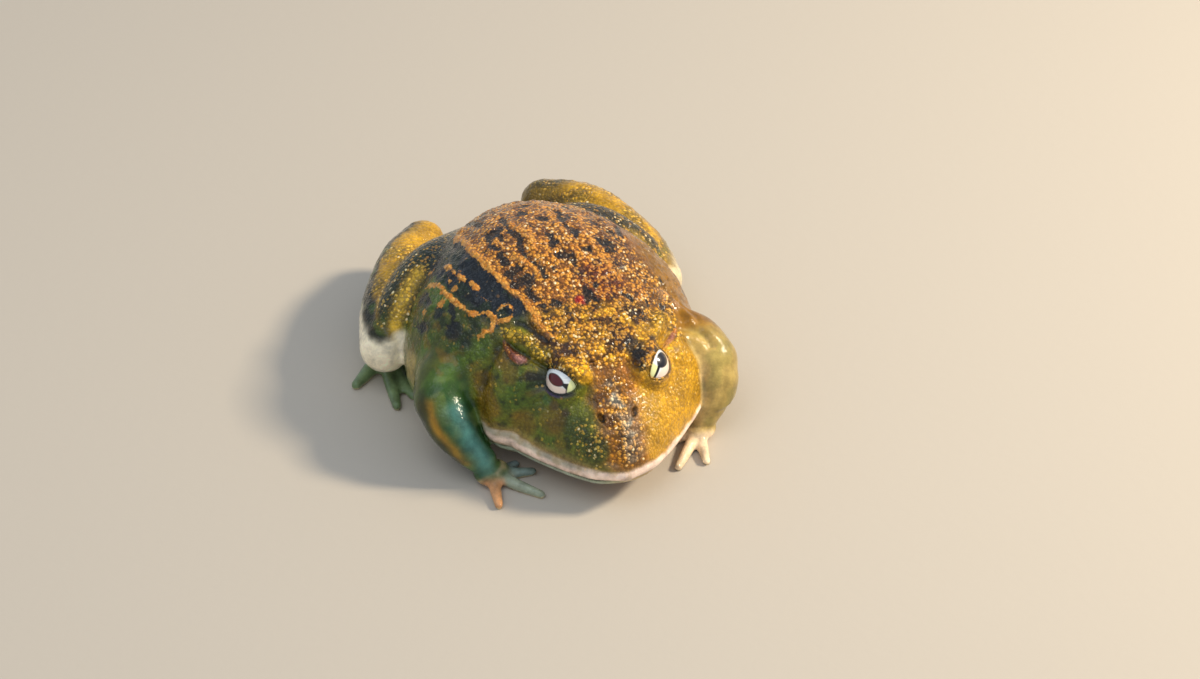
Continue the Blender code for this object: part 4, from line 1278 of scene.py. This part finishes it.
def gold_shares(skin, paint, line):
    """How many of the granules are bright at every point: the most that any area asks for, and few of them in
    the painted shade of creases, by the left brow and on the bare knees."""
    bare = 1 - skin.limb
    height = skin.z + paint.ragged
    band = ramp(paint.across, -0.6, 0.8) * (1 - ramp(skin.across, 44, 52))
    gold = np.maximum.reduce([
        skin.back * (0.06 + 0.62 * band),
        paint.crown * (0.8 - 0.4 * ramp(paint.blotch, 0.54, 0.64)),
        0.6 * paint.snout,
        skin.on_head * (0.06 + 0.08 * ramp(skin.side, 4, 10)) * ramp(skin.mouth, 5, 9),
        skin.share("shank") * ramp(height, 22, 28) * (0.05 + 0.3 * ramp(paint.blotch, 0.5, 0.65)),
        skin.share("thigh") * ramp(height, 24, 28) * 0.35,
        0.5 * skin.on_head * around(skin.head, [SNOUT_SIDE], 7),
        bare * hump(paint.supra[SIDES["right"]], 1.9) * 0.85,
        bare * (1 - ramp(paint.drums[SIDES["right"]][0], 0.7, 1.0)) * 0.4,
    ])
    gold = gold * (1 - 0.75 * skin.on_head * around(skin.head, [DARK_BROW], 3.6))
    return gold * (1 - 0.9 * ramp(line, 0.3, 0.7)) * (1 - paint.bare)


def markings(skin, tint):
    """Ground colour, pattern fields and painted crease shade of every point, by where it lies on the animal.
    Later layers lie on earlier ones."""
    paint = SkinPaint(skin, tint)
    paint_trunk(skin, paint)
    paint_head(skin, paint)
    paint_mouth(skin, paint)
    for side, sign in SIDES.items():
        paint_arm(skin, paint, side, sign)
        paint_leg(skin, paint, side, sign)
        paint_ear_and_lids(skin, paint, sign)
    shank, along_shank = skin.shares["shank_left"]
    paint.lay("dark_green", shank * ramp(along_shank, 0.78, 0.92) * 0.7)
    paint_scab(skin, paint)
    # Painted shade of the mouth slit, nostrils, furrows and the eardrums' lower edges.
    line = painted_crease_shade(skin, paint)
    gold = gold_shares(skin, paint, line)
    limbs = skin.share("upper_arm", "forearm", "finger", "toe", "foot")
    smooth = np.maximum.reduce([limbs, paint.jaw, paint.lip, paint.bare])
    return {
        "ground": paint.layer(),
        "gold": np.clip(gold, 0, 1),
        "grain": np.clip(0.4 + gold, 0, 1) * (1 - 0.85 * smooth),
        "dash": np.where(skin.back > 0.25, skin.dash + 3 * skin.on_head, FAR_OUTSIDE),
        "ridge": np.where(skin.back > 0.2, skin.ridge, FAR_OUTSIDE),
        "line": np.clip(line, 0, 1),
    }


# ---------------------------------------------------------------- meshes and nodes


def mesh_object(name, points, faces, fields, made_of):
    """A smooth-shaded object with its place in its mesh, and a number or a colour at every point."""
    mesh = bpy.data.meshes.new(name)
    mesh.from_pydata(points.tolist(), [], [list(face) for face in faces])
    mesh.shade_smooth()
    for key, values in fields.items():
        if np.ndim(values) == 2:
            layer = mesh.attributes.new(key, "FLOAT_COLOR", "POINT")
            layer.data.foreach_set("color", np.asarray(values, np.float32).ravel())
        else:
            layer = mesh.attributes.new(key, "FLOAT", "POINT")
            layer.data.foreach_set("value", np.asarray(values, np.float32))
    mesh.materials.append(made_of)
    mesh.validate()
    made = bpy.data.objects.new(name, mesh)
    bpy.context.scene.collection.objects.link(made)
    return made


def node(tree, kind, inputs=(), **settings):
    """Adds a node; inputs are values, or sockets to link, by name or place."""
    made = tree.nodes.new("ShaderNode" + kind)
    for key, value in settings.items():
        setattr(made, key, value)
    for key, value in dict(inputs).items():
        if isinstance(value, bpy.types.NodeSocket):
            tree.links.new(value, made.inputs[key])
        else:
            made.inputs[key].default_value = value
    return made


def blank_material(name):
    """A material with an empty node tree, and the tree."""
    made = bpy.data.materials.new(name)
    made.use_nodes = True
    made.node_tree.nodes.clear()
    return made, made.node_tree


def skin_textures(tree, settings):
    """Noises by their names, and the granules: distance from the nearest one's middle, its own three random
    numbers, its dome and its disc, and the swell of the wart under it."""
    place = node(tree, "TexCoord").outputs["Object"]
    # The places of granules and warts are stirred by about half a granule, so that no two look alike.
    stir = node(tree, "TexNoise", {"Vector": place, "Scale": 1 / STIR_SIZE, "Detail": 2.0})
    bent = {0: stir.outputs["Color"], 1: (STIR_REACH,) * 3, 2: place}
    bent = node(tree, "VectorMath", bent, operation="MULTIPLY_ADD").outputs[0]
    granule = node(tree, "TexVoronoi", {"Vector": bent, "Scale": 1 / settings.granule})
    wart = node(tree, "TexVoronoi", {"Vector": bent, "Scale": 1 / WART_SPACING}).outputs["Distance"]
    made = {}
    for name, (size, detail, rough) in SKIN_NOISES.items():
        noise = {"Vector": place, "Scale": 1 / size, "Detail": detail, "Roughness": rough}
        made[name] = node(tree, "TexNoise", noise).outputs["Fac"]
    apart = made["apart"] = granule.outputs["Distance"]
    made["numbers"] = node(tree, "SeparateColor", {0: granule.outputs["Color"]}).outputs
    made["dome"] = node(tree, "MapRange", {0: apart, 1: 0.62, 2: 0.2, 3: 0.0, 4: 1.0}).outputs[0]
    made["disc"] = node(tree, "MapRange", {0: apart, 1: 0.72, 2: 0.45, 3: 0.0, 4: 1.0}).outputs[0]
    made["swell"] = node(tree, "MapRange", {0: wart, 1: 0.5, 2: 0.1, 3: 0.0, 4: 1.0}).outputs[0]
    return made


def granule_colours(tree, settings, field, texture):
    """Mottled ground with bright and dull granules. A granule is bright where its own number is under the
    gold field, which clumps; the brightest carry a painted near-white highlight on top."""
    numbers, gold = texture["numbers"], field["gold"]
    shade = node(tree, "MapRange", {0: texture["mottle"], 1: 0.32, 2: 0.68, 3: 0.62, 4: 1.32}).outputs[0]
    ground = {0: 1.0, 6: field["ground"], 7: shade}
    ground = node(tree, "Mix", ground, data_type="RGBA", blend_type="MULTIPLY").outputs[2]
    many = {0: texture["clump"], 1: 4.4, 2: -2.2}
    many = node(tree, "Math", many, operation="MULTIPLY_ADD").outputs[0]
    many = node(tree, "Math", {0: many, 1: gold}, operation="MULTIPLY").outputs[0]
    many = node(tree, "Math", {0: many, 1: gold}, operation="ADD").outputs[0]
    chosen = node(tree, "Math", {0: many, 1: numbers[0]}, operation="SUBTRACT").outputs[0]
    chosen = node(tree, "MapRange", {0: chosen, 1: 0.0, 2: 0.1, 3: 0.0, 4: 1.0}).outputs[0]
    dull = node(tree, "MapRange", {0: chosen, 1: 0.0, 2: 1.0, 3: 0.42, 4: 1.0}).outputs[0]
    dull = node(tree, "Mix", {0: gold, 2: 1.0, 3: dull}, data_type="FLOAT").outputs[0]
    base = node(tree, "Mix", {0: 1.0, 6: ground, 7: dull}, data_type="RGBA", blend_type="MULTIPLY").outputs[2]
    lift = node(tree, "MapRange", {0: numbers[1], 1: 0.0, 2: 1.0, 3: 1.2, 4: 2.3}).outputs[0]
    lifted = {0: 1.0, 6: ground, 7: lift}
    lifted = node(tree, "Mix", lifted, data_type="RGBA", blend_type="MULTIPLY").outputs[2]
    gilt = {0: numbers[1], 6: settings.gold, 7: settings.pale_gold}
    gilt = node(tree, "Mix", gilt, data_type="RGBA").outputs[2]
    gilt = node(tree, "Mix", {0: 0.45, 6: lifted, 7: gilt}, data_type="RGBA").outputs[2]
    # Painted highlight: near-white tops of the brightest granules, standing in for wet sparkles.
    painted_glint = node(tree, "MapRange", {0: numbers[2], 1: 0.84, 2: 0.9, 3: 0.0, 4: 0.8}).outputs[0]
    painted_glint = node(tree, "Math", {0: painted_glint, 1: texture["dome"]}, operation="MULTIPLY").outputs[0]
    gilt = node(tree, "Mix", {0: painted_glint, 6: gilt, 7: settings.painted_glint}, data_type="RGBA").outputs[2]
    light = node(tree, "Math", {0: chosen, 1: texture["disc"]}, operation="MULTIPLY").outputs[0]
    return node(tree, "Mix", {0: light, 6: base, 7: gilt}, data_type="RGBA").outputs[2]


def broken_edge(tree, texture, outside, fine, coarse):
    """A distance outside an edge, stirred by specks and clumps of these strengths, which tears the edge."""
    torn = {0: texture["speck"], 1: fine, 2: -fine / 2}
    torn = node(tree, "Math", torn, operation="MULTIPLY_ADD").outputs[0]
    torn = {0: texture["clump"], 1: coarse, 2: torn}
    torn = node(tree, "Math", torn, operation="MULTIPLY_ADD").outputs[0]
    return node(tree, "Math", {0: outside, 1: torn}, operation="ADD").outputs[0]


def pattern_colours(tree, settings, field, texture, base):
    """Dark dashes and rows of orange granules on the back, then painted shade in the gaps between granules,
    and the painted shade of the mouth slit, nostrils, furrows and eardrums' lower edges, which is darkest."""
    dash = broken_edge(tree, texture, field["dash"], 2.6, 2.4)
    dash = node(tree, "MapRange", {0: dash, 1: 1.6, 2: 1.0, 3: 0.0, 4: 0.93}).outputs[0]
    base = node(tree, "Mix", {0: dash, 6: base, 7: settings.dark}, data_type="RGBA").outputs[2]
    crest = broken_edge(tree, texture, field["ridge"], 2.0, 1.6)
    crest = node(tree, "MapRange", {0: crest, 1: 1.15, 2: 0.75, 3: 0.0, 4: 0.95}).outputs[0]
    orange = {0: texture["numbers"][1], 6: settings.ridge, 7: settings.pale_ridge}
    orange = node(tree, "Mix", orange, data_type="RGBA").outputs[2]
    base = node(tree, "Mix", {0: crest, 6: base, 7: orange}, data_type="RGBA").outputs[2]
    # Painted shade in the hollows between granules, deeper where the skin is more granular.
    gap_shade = node(tree, "MapRange", {0: texture["apart"], 1: 0.42, 2: 0.75, 3: 1.0, 4: 0.32}).outputs[0]
    gap_shade = node(tree, "Mix", {0: field["grain"], 2: 1.0, 3: gap_shade}, data_type="FLOAT").outputs[0]
    base = node(tree, "Mix", {0: 1.0, 6: base, 7: gap_shade}, data_type="RGBA", blend_type="MULTIPLY").outputs[2]
    # The painted shade of creases is laid last and darkest.
    return node(tree, "Mix", {0: field["line"], 6: base, 7: settings.crevice_shade}, data_type="RGBA").outputs[2]


def skin_relief(tree, field, texture):
    """Normals of the skin and of the film of water on it, for relief too fine for the mesh: granules and
    warts stand about 0.3 mm proud."""
    tall = {0: texture["swell"], 1: 0.6, 2: texture["dome"]}
    tall = node(tree, "Math", tall, operation="MULTIPLY_ADD").outputs[0]
    tall = node(tree, "Math", {0: tall, 1: field["grain"]}, operation="MULTIPLY").outputs[0]
    tall = node(tree, "Math", {0: texture["pore"], 1: 0.22, 2: tall}, operation="MULTIPLY_ADD").outputs[0]
    wave = node(tree, "Math", {0: tall, 1: 0.8, 2: texture["film"]}, operation="MULTIPLY_ADD").outputs[0]
    relief = node(tree, "Bump", {"Height": tall, "Strength": 0.9, "Distance": 0.0003})
    water = node(tree, "Bump", {"Height": wave, "Strength": 0.9, "Distance": 0.0004})
    return relief.outputs[0], water.outputs[0]


def frog_skin(settings):
    """Frog skin: a living skin thickened into granules and kept wet by its own mucus.

    The mucus is a clear film with sharp small highlights over a softer, faintly translucent skin; the
    granules are gold on top, the brightest with a painted highlight, and painted shade darkens the gaps
    between them.
    """
    made, tree = blank_material("wet granular frog skin")
    field = {
        key: node(tree, "Attribute", attribute_name=key).outputs["Color" if key == "ground" else "Fac"]
        for key in ("ground", "gold", "grain", "dash", "ridge", "line")
    }
    texture = skin_textures(tree, settings)
    base = granule_colours(tree, settings, field, texture)
    base = pattern_colours(tree, settings, field, texture, base)
    relief, water = skin_relief(tree, field, texture)
    rough = node(tree, "MapRange", {0: texture["mottle"], 1: 0.3, 2: 0.7, 3: 0.36, 4: 0.52}).outputs[0]
    shader = node(
        tree,
        "BsdfPrincipled",
        {
            "Base Color": base,
            "Roughness": rough,
            "IOR": 1.4,
            "Coat Weight": 1.0,
            "Coat Roughness": 0.07,
            "Coat IOR": 1.34,
            "Specular IOR Level": 0.2,
            "Subsurface Weight": 0.06,
            "Subsurface Radius": (0.002, 0.0012, 0.0006),
            "Subsurface Scale": 1.0,
            "Normal": relief,
            "Coat Normal": water,
        },
    )
    node(tree, "OutputMaterial", {"Surface": shader.outputs[0]})
    return made


def eye_jelly():
    """Eyeball: a clear wet cornea over a silver iris, so the colour lies under a mirror-like film."""
    made, tree = blank_material("wet eyeball")
    tint = node(tree, "Attribute", attribute_name="ground").outputs["Color"]
    shader = node(
        tree,
        "BsdfPrincipled",
        {"Base Color": tint, "Roughness": 0.3, "IOR": 1.38, "Coat Weight": 1.0, "Coat Roughness": 0.03,
         "Coat IOR": 1.38},
    )
    node(tree, "OutputMaterial", {"Surface": shader.outputs[0]})
    return made


def studio_paper(settings):
    """Backdrop paper: pale uncoated paper, matt, so the shadows on it stay soft."""
    made, tree = blank_material("pale backdrop paper")
    place = node(tree, "TexCoord").outputs["Object"]
    fibre = node(tree, "TexNoise", {"Vector": place, "Scale": 1 / 0.004, "Detail": 4.0})
    bump = node(tree, "Bump", {"Height": fibre.outputs["Fac"], "Strength": 0.3, "Distance": 0.0002})
    shader = node(
        tree,
        "BsdfPrincipled",
        {"Base Color": settings.floor_colour, "Roughness": 0.9, "Normal": bump.outputs[0]},
    )
    node(tree, "OutputMaterial", {"Surface": shader.outputs[0]})
    return made


# ---------------------------------------------------------------- eyes


def eyeball(sign):
    """One eyeball with a bulging cornea: rings round its own axis, closest together over the slit."""
    centre, turn = eye_frame(sign)
    polar = np.concatenate([np.linspace(0, 1.05, 110), np.linspace(1.05, math.pi, 40)[1:]])[:, None]
    angle = np.linspace(0, 2 * math.pi, 180, endpoint=False)[None, :]
    radius = EYE_RADIUS + CORNEA_BULGE * hump(polar, 0.75)
    x = radius * np.sin(polar) * np.cos(angle)
    y = radius * np.sin(polar) * np.sin(angle)
    z = np.broadcast_to(radius * np.cos(polar), x.shape)
    return closed_surface(np.stack([x, y, z], axis=-1) @ turn.T + centre)


def eye_colours(points, sign, tint):
    """Colours of an eyeball's points.

    The pupil is an almond, longer forward than upward, with a notch towards the front corner; a silver iris
    lies round it, and a pale yellow corner before a dark line. The right pupil's maroon is painted red
    eyeshine, and a dark band along the slit's edge, ragged at the top, is painted shadow of the lids.
    """
    centre, turn = eye_frame(sign)
    back, lean = PUPILS[sign]
    corner_at, border, slope = EYE_CORNERS[sign]
    pupil_long, pupil_high = PUPIL_HALVES[sign]
    local = (points - centre) @ turn
    fore, rise = -sign * local[:, 0], local[:, 1]
    paint = Paint(tint, "iris", len(points))
    lay = paint.lay
    spin = np.arctan2(rise, fore + back)
    away = np.hypot(fore + back, rise)
    fibre = 0.5 + 0.5 * np.sin(spin * 41 + 3 * np.sin(spin * 7))
    behind = 0.5 * ramp(-fore, 2.6, 4.6) * ramp(rise, 0.5, 2.0)
    lay("iris_shade", 0.3 * fibre * ramp(away, 2.2, 3.4) + behind)
    lay("iris_low", ramp(-rise - 0.15 * fore, 0.5, 1.5))
    lean = math.radians(lean)
    ahead = (fore + back) * math.cos(lean) - rise * math.sin(lean)
    aside = (fore + back) * math.sin(lean) + rise * math.cos(lean)
    almond = (np.abs(ahead) / pupil_long) ** 1.7 + (np.abs(aside) / pupil_high) ** 1.9
    corner = np.minimum(fore - corner_at, 0.5 * (fore - border) + slope * rise)
    notch_half = 0.3 + 0.45 * np.clip(ahead - pupil_long + 0.3, 0, None)
    beyond = ramp(ahead, pupil_long - 0.5, pupil_long - 0.2)
    lay("notch", (1 - ramp(np.abs(aside) - notch_half, -0.1, 0.1)) * beyond)
    lay("corner", ramp(corner, -0.05, 0.1))
    lay("eye_line", hump(corner + 0.15, 0.16) * ramp(-rise, -1.0, 1.0))
    # The right pupil's maroon is painted red eyeshine; the left keeps the pupil's own near black.
    lay(f"pupil_{'right' if sign < 0 else 'left'}", 1 - ramp(almond, 0.94, 1.04))
    lay("eye_line", 0.9 * hump(almond - 1.04, 0.13))
    # Painted shadow of the lids on the eyeball, along the slit's edge and ragged under the upper lid.
    edge = slit_measure(fore * LID_RADIUS / EYE_RADIUS, rise * LID_RADIUS / EYE_RADIUS, sign)
    ragged_lid_shadow = 0.05 * np.sin(9 * fore) * ramp(rise, 0.5, 1.5) * (1 - ramp(fore, 1.5, 3.0))
    lay("eye_line", ramp(edge + ragged_lid_shadow, 0.955, 0.99) * (1 - 0.8 * ramp(corner, 0.2, 0.6)))
    return paint.layer()


# ---------------------------------------------------------------- settings, operators and panel


class BullfrogSkinSettings(bpy.types.PropertyGroup):
    """Fineness of the skin, and the colours of its markings and of its painted light and shade"""

    voxel: length("Voxel", "Size of the skin's quads away from the face", 0.00098, 0.0005, 0.004)
    face_detail: FloatProperty(
        name="Face detail", description="How much finer the face is", default=1.5, min=1, max=2
    )
    wart_height: FloatProperty(
        name="Wart height", description="Height of the warts in mm", default=0.55, min=0, max=2
    )
    granule: length("Granule", "Spacing of the small skin granules", 0.00098, 0.0004, 0.004)
    back: colour("Back", "Ground of the golden band of the back", "#A8661C")
    brown: colour("Brown", "Shaded side of the golden band", "#8A5214")
    rust: colour("Rust", "Reddish brown behind the head", "#782E04")
    plum: colour("Plum", "Dark purple brown", "#4C3026")
    dark_brown: colour("Dark brown", "Dark flecks of crown and back", "#40200A")
    dark: colour("Dark", "Blue-black dashes", "#0A1014")
    navy: colour("Navy", "Blue-black between the ridges", "#0A141E")
    dark_green: colour("Dark green", "Snout patch, shank sides and the band between the ridges", "#16260A")
    shank_dark: colour("Shank side", "Nearly black outer side of the shanks", "#1E2008")
    snout_green: colour("Snout green", "Dark green side of the snout", "#4A5418")
    emerald: colour("Emerald", "Bright green under the eye", "#3E6C38")
    # Olive and the other greens of the right side are partly painted shade.
    olive: colour("Olive", "Upper flank on the right", "#4E5618")
    leaf: colour("Leaf", "Green blotches", "#486818")
    ochre: colour("Ochre", "Skin behind the right arm", "#B49A58")
    # Warm left flank: own colour, partly painted light.
    flank: colour("Flank", "Warm flank on the left", "#8E6004")
    fold: colour("Fold", "Folds of the left shoulder", "#D09A68")
    pale: colour("Pale", "Lower flank", "#B0A868")
    belly: colour("Belly", "Underside", "#CDBD8C")
    # Green right cheek, partly painted shade; golden left cheek, partly painted light.
    cheek_right: colour("Right cheek", "Green cheek", "#6A7018")
    cheek_brown: colour("Cheek brown", "Brown-ochre mottles of the right side", "#7C5C12")
    cheek_left: colour("Left cheek", "Golden cheek", "#CC9612")
    crown: colour("Crown", "Gold between the eyes", "#B67810")
    brow: colour("Brow", "Bright yellow patches by the eyes", "#E6A810")
    supra: colour("Ear ridge", "Ridge over the eardrum", "#B4961C")
    # Pale grey of the painted sheen on the snout.
    silver: colour("Silver", "Wet grey line down the snout", "#C4BCA8")
    jaw_right: colour("Jaw", "Lower jaw on the right", "#AAB49C")
    throat: colour("Throat", "Chin and throat", "#C8A878")
    lip: colour("Lip", "Upper lip", "#F6D8C4")
    lip_line: colour("Lip line", "Edge over the lip", "#A08450")
    # Painted shade on the upper and lower edges of the right lip's roll.
    lip_grey: colour("Lip grey", "Edges of the lip on the right", "#B8AC94")
    # Right arm green and blue-green middle: partly painted sky-lit shade. Left arm beige and pale middle:
    # partly painted light.
    arm_right: colour("Right arm", "Green arm", "#2C4C18")
    arm_middle_right: colour("Right arm middle", "Blue-green middle of the right arm", "#487C76")
    arm_left: colour("Left arm", "Beige arm", "#C0A25A")
    arm_middle_left: colour("Left arm middle", "Pale middle of the left arm", "#DCB888")
    arm_mottle: colour("Arm mottle", "Olive mottles of the arms", "#6C7A38")
    arm_outer: colour("Arm outer side", "Dark olive-brown outer side", "#3C3A12")
    arm_edge: colour("Arm edge", "Ochre line down the outer side", "#AC7C1C")
    # Right fingers' greys: partly painted shade. Left fingers' near-white peach: partly painted light.
    finger_right_0: colour("Right finger 1", "Inner finger", "#7C8C90")
    finger_right_1: colour("Right finger 2", "Second finger", "#7C8C84")
    finger_right_2: colour("Right finger 3", "Long grey-green finger", "#9AA08A")
    finger_right_3: colour("Right finger 4", "Outer tan finger", "#D89A68")
    finger_left_0: colour("Left finger 1", "Inner finger", "#DCB890")
    finger_left_1: colour("Left finger 2", "Second finger", "#FFDCB4")
    finger_left_2: colour("Left finger 3", "Long finger", "#FFE2BC")
    finger_left_3: colour("Left finger 4", "Outer finger", "#FFE2BC")
    thigh: colour("Thigh", "Golden strip of the thigh", "#EEBC30")
    shank: colour("Shank", "Shank", "#CC9812")
    # Cream of the bare knee, brightened to near white as painted light bounced up from the floor.
    knee: colour("Knee", "Bare knee", "#FFEECC")
    foot: colour("Foot", "Foot and toes", "#70845A")
    drum_tail: colour("Eardrum tail", "Thin rear end of the eardrum", "#B0682A")
    drum: colour("Eardrum", "Middle of the eardrum", "#9C4E2C")
    drum_front: colour("Eardrum front", "Wide front of the eardrum", "#D08C7C")
    lid: colour("Lower lid", "Slate purple lower lid", "#4C3E68")
    # Own olive of the upper lid, darkened as painted shadow of the brow.
    lid_green: colour("Upper lid", "Olive band over the eye", "#454C1E")
    # Painted shade along the edge of the slit between the lids.
    lid_edge: colour("Lid edge", "Wet edge of both lids", "#101410")
    scab: colour("Scab", "Small healed graze", "#C01408")
    gold: colour("Gold", "Granule tops", "#CC8410")
    pale_gold: colour("Pale gold", "Brightest granules", "#F0BC4C")
    # Painted highlight on the tops of the brightest granules.
    painted_glint: colour("Glint", "Nearly white tops of the brightest granules", "#FFF2C4")
    ridge: colour("Ridge", "Orange ridges", "#C87812")
    pale_ridge: colour("Pale ridge", "Lightest granules of the ridges", "#ECA848")
    # Near black of the painted shade in the mouth slit, nostrils, furrows and under the eardrums.
    crevice_shade: colour("Crevice", "Mouth slit and furrows", "#080C0A")


class BullfrogEyeSettings(bpy.types.PropertyGroup):
    """Colours of the eyes"""

    iris: colour("Iris", "Silver upper iris", "#EEF0F0")
    iris_shade: colour("Iris fibres", "Grey fibres of the iris", "#A2ACB2")
    iris_low: colour("Lower iris", "Cream lower iris", "#F0DACA")
    # Painted red eyeshine in the right pupil.
    pupil_right: colour("Right pupil", "Maroon pupil, lit from inside", "#56000E")
    pupil_left: colour("Left pupil", "Violet-black pupil", "#0A0410")
    notch: colour("Notch", "Brown-black notch before the pupil", "#140804")
    # The same dark also paints the lids' shadow along the slit's edge.
    eye_line: colour("Line", "Dark lines round the pupil and corner", "#060806")
    corner: colour("Corner", "Pale yellow front corner", "#EEF0AC")


class BullfrogStageSettings(bpy.types.PropertyGroup):
    """Floor, lights and camera"""

    floor_colour: colour("Floor", "Pale backdrop paper", "#BDB3A6")
    key_power: FloatProperty(name="Key", description="Power of the key light in watts", default=17, min=0)
    fill_power: FloatProperty(
        name="Fill", description="Power of the overhead light in watts", default=1.6, min=0
    )
    sky: FloatProperty(name="Sky", description="Strength of the light from all round", default=0.62, min=0)
    azimuth: FloatProperty(name="Azimuth", description="Where the camera stands, in degrees", default=-18)
    elevation: FloatProperty(
        name="Elevation", description="How far the camera looks down, in degrees", default=40
    )
    distance: length("Distance", "Camera to subject", 0.9, 0.2, 5)
    lens: FloatProperty(name="Lens", description="Focal length in mm", default=84.375, min=10)


def tints(settings):
    """Every colour of a group of settings, as linear arrays."""
    return {
        key: np.array(getattr(settings, key)[:3])
        for key, kind in settings.bl_rna.properties.items()
        if getattr(kind, "subtype", "") == "COLOR"
    }


def design_shift():
    """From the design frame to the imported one, in mm: between the middles of the eyes in each."""
    packed = [sum(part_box(f"eye_{side}"), Vector()) / 2 for side in SIDES]
    drawn = [eye_frame(sign)[0] for sign in SIDES.values()]
    return np.mean(np.array(packed) / MM - drawn, axis=0)


class BULLFROG_OT_skin(bpy.types.Operator):
    """Makes the whole skin as one piece over the flesh"""

    bl_idname = "bullfrog.make_skin"
    bl_label = "Make skin"

    def execute(self, context):
        settings = context.scene.bullfrog_skin
        points, quads = skin_surface(settings)
        fields = markings(Skin(points, normals_of(points, quads)), tints(settings))
        points = (points + design_shift()) * MM
        made = mesh_object("skin", points, quads.tolist(), fields, frog_skin(settings))
        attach(made, "root")
        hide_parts(*(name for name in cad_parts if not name.startswith("eye_")))
        return {"FINISHED"}


class BULLFROG_OT_eyes(bpy.types.Operator):
    """Makes both eyeballs"""

    bl_idname = "bullfrog.make_eyes"
    bl_label = "Make eyes"

    def execute(self, context):
        jelly = eye_jelly()
        for side, sign in SIDES.items():
            points, faces = eyeball(sign)
            fields = {"ground": eye_colours(points, sign, tints(context.scene.bullfrog_eyes))}
            made = mesh_object(f"eyeball_{side}", (points + design_shift()) * MM, faces, fields, jelly)
            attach(made, "root")
            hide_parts(f"eye_{side}")
        return {"FINISHED"}


def area_light(name, place, target, size, power, tint):
    """A square lamp at a place, turned to its target."""
    lamp = bpy.data.lights.new(name, "AREA")
    lamp.energy, lamp.size, lamp.color = power, size, tint
    made = bpy.data.objects.new(name, lamp)
    made.location = place
    made.rotation_euler = (Vector(target) - Vector(place)).to_track_quat("-Z", "Y").to_euler()
    bpy.context.scene.collection.objects.link(made)
    return made


class BULLFROG_OT_stage(bpy.types.Operator):
    """Sets a pale floor, soft lights and the camera"""

    bl_idname = "bullfrog.make_stage"
    bl_label = "Make stage"

    def execute(self, context):
        settings = context.scene.bullfrog_stage
        lines = np.linspace(-1, 1, FLOOR_LINES) * FLOOR_REACH
        x, y = np.meshgrid(lines, lines, indexing="ij")
        grid = np.arange(x.size).reshape(x.shape)
        quads = np.stack([grid[:-1, :-1], grid[1:, :-1], grid[1:, 1:], grid[:-1, 1:]], axis=-1).reshape(-1, 4)
        points = np.column_stack([x.ravel(), y.ravel(), np.zeros(x.size)])
        floor = mesh_object("floor", points, quads.tolist(), {}, studio_paper(settings))

        turn, tilt = math.radians(settings.azimuth), math.radians(settings.elevation)
        ahead = Vector((-math.sin(turn) * math.cos(tilt), math.cos(turn) * math.cos(tilt), -math.sin(tilt)))
        right = ahead.cross(Vector((0, 0, 1))).normalized()
        up = right.cross(ahead)
        subject = Vector(np.array(SUBJECT) * MM + design_shift() * MM)
        lens = bpy.data.cameras.new("camera")
        lens.lens = settings.lens
        lens.sensor_width = 36
        camera = bpy.data.objects.new("camera", lens)
        camera.matrix_world = Matrix((right, up, -ahead)).transposed().to_4x4()
        camera.location = subject - ahead * settings.distance + right * CAMERA_ASIDE
        context.scene.collection.objects.link(camera)
        context.scene.camera = camera

        level = Vector((ahead.x, ahead.y, 0)).normalized()
        place = subject + right * 0.93 + level * 0.12 + Vector((0, 0, 0.735))
        area_light("key", place, subject, KEY_SIZE, settings.key_power, KEY_TINT)
        place = subject - level * 0.25 - right * 0.2 + Vector((0, 0, 0.8))
        area_light("overhead", place, subject, OVERHEAD_SIZE, settings.fill_power, OVERHEAD_TINT)
        world = bpy.data.worlds.new("studio")
        world.use_nodes = True
        background = world.node_tree.nodes["Background"]
        background.inputs["Color"].default_value = SKY_TINT
        background.inputs["Strength"].default_value = settings.sky
        context.scene.world = world
        context.scene.view_settings.view_transform = "Standard"
        return {"FINISHED"}


class BULLFROG_PT_panel(bpy.types.Panel):
    """Lists the bullfrog's pieces and their settings"""

    bl_label = "Bullfrog"
    bl_idname = "BULLFROG_PT_panel"
    bl_space_type = "VIEW_3D"
    bl_region_type = "UI"
    bl_category = "Bullfrog"

    def draw(self, context):
        scene = context.scene
        for operator, settings in (
            (BULLFROG_OT_skin, scene.bullfrog_skin),
            (BULLFROG_OT_eyes, scene.bullfrog_eyes),
            (BULLFROG_OT_stage, scene.bullfrog_stage),
        ):
            box = self.layout.box()
            box.operator(operator.bl_idname)
            for key in settings.__annotations__:
                box.prop(settings, key)


CLASSES = (
    BullfrogSkinSettings,
    BullfrogEyeSettings,
    BullfrogStageSettings,
    BULLFROG_OT_skin,
    BULLFROG_OT_eyes,
    BULLFROG_OT_stage,
    BULLFROG_PT_panel,
)


def register():
    """Registers the classes and gives every scene the three groups of settings."""
    for kind in CLASSES:
        bpy.utils.register_class(kind)
    bpy.types.Scene.bullfrog_skin = PointerProperty(type=BullfrogSkinSettings)
    bpy.types.Scene.bullfrog_eyes = PointerProperty(type=BullfrogEyeSettings)
    bpy.types.Scene.bullfrog_stage = PointerProperty(type=BullfrogStageSettings)


def unregister():
    """Takes back what register did."""
    del bpy.types.Scene.bullfrog_skin
    del bpy.types.Scene.bullfrog_eyes
    del bpy.types.Scene.bullfrog_stage
    for kind in reversed(CLASSES):
        bpy.utils.unregister_class(kind)


def main():
    """Makes every piece in order."""
    register()
    bpy.ops.bullfrog.make_skin()
    bpy.ops.bullfrog.make_eyes()
    bpy.ops.bullfrog.make_stage()


if __name__ == "__main__":
    main()
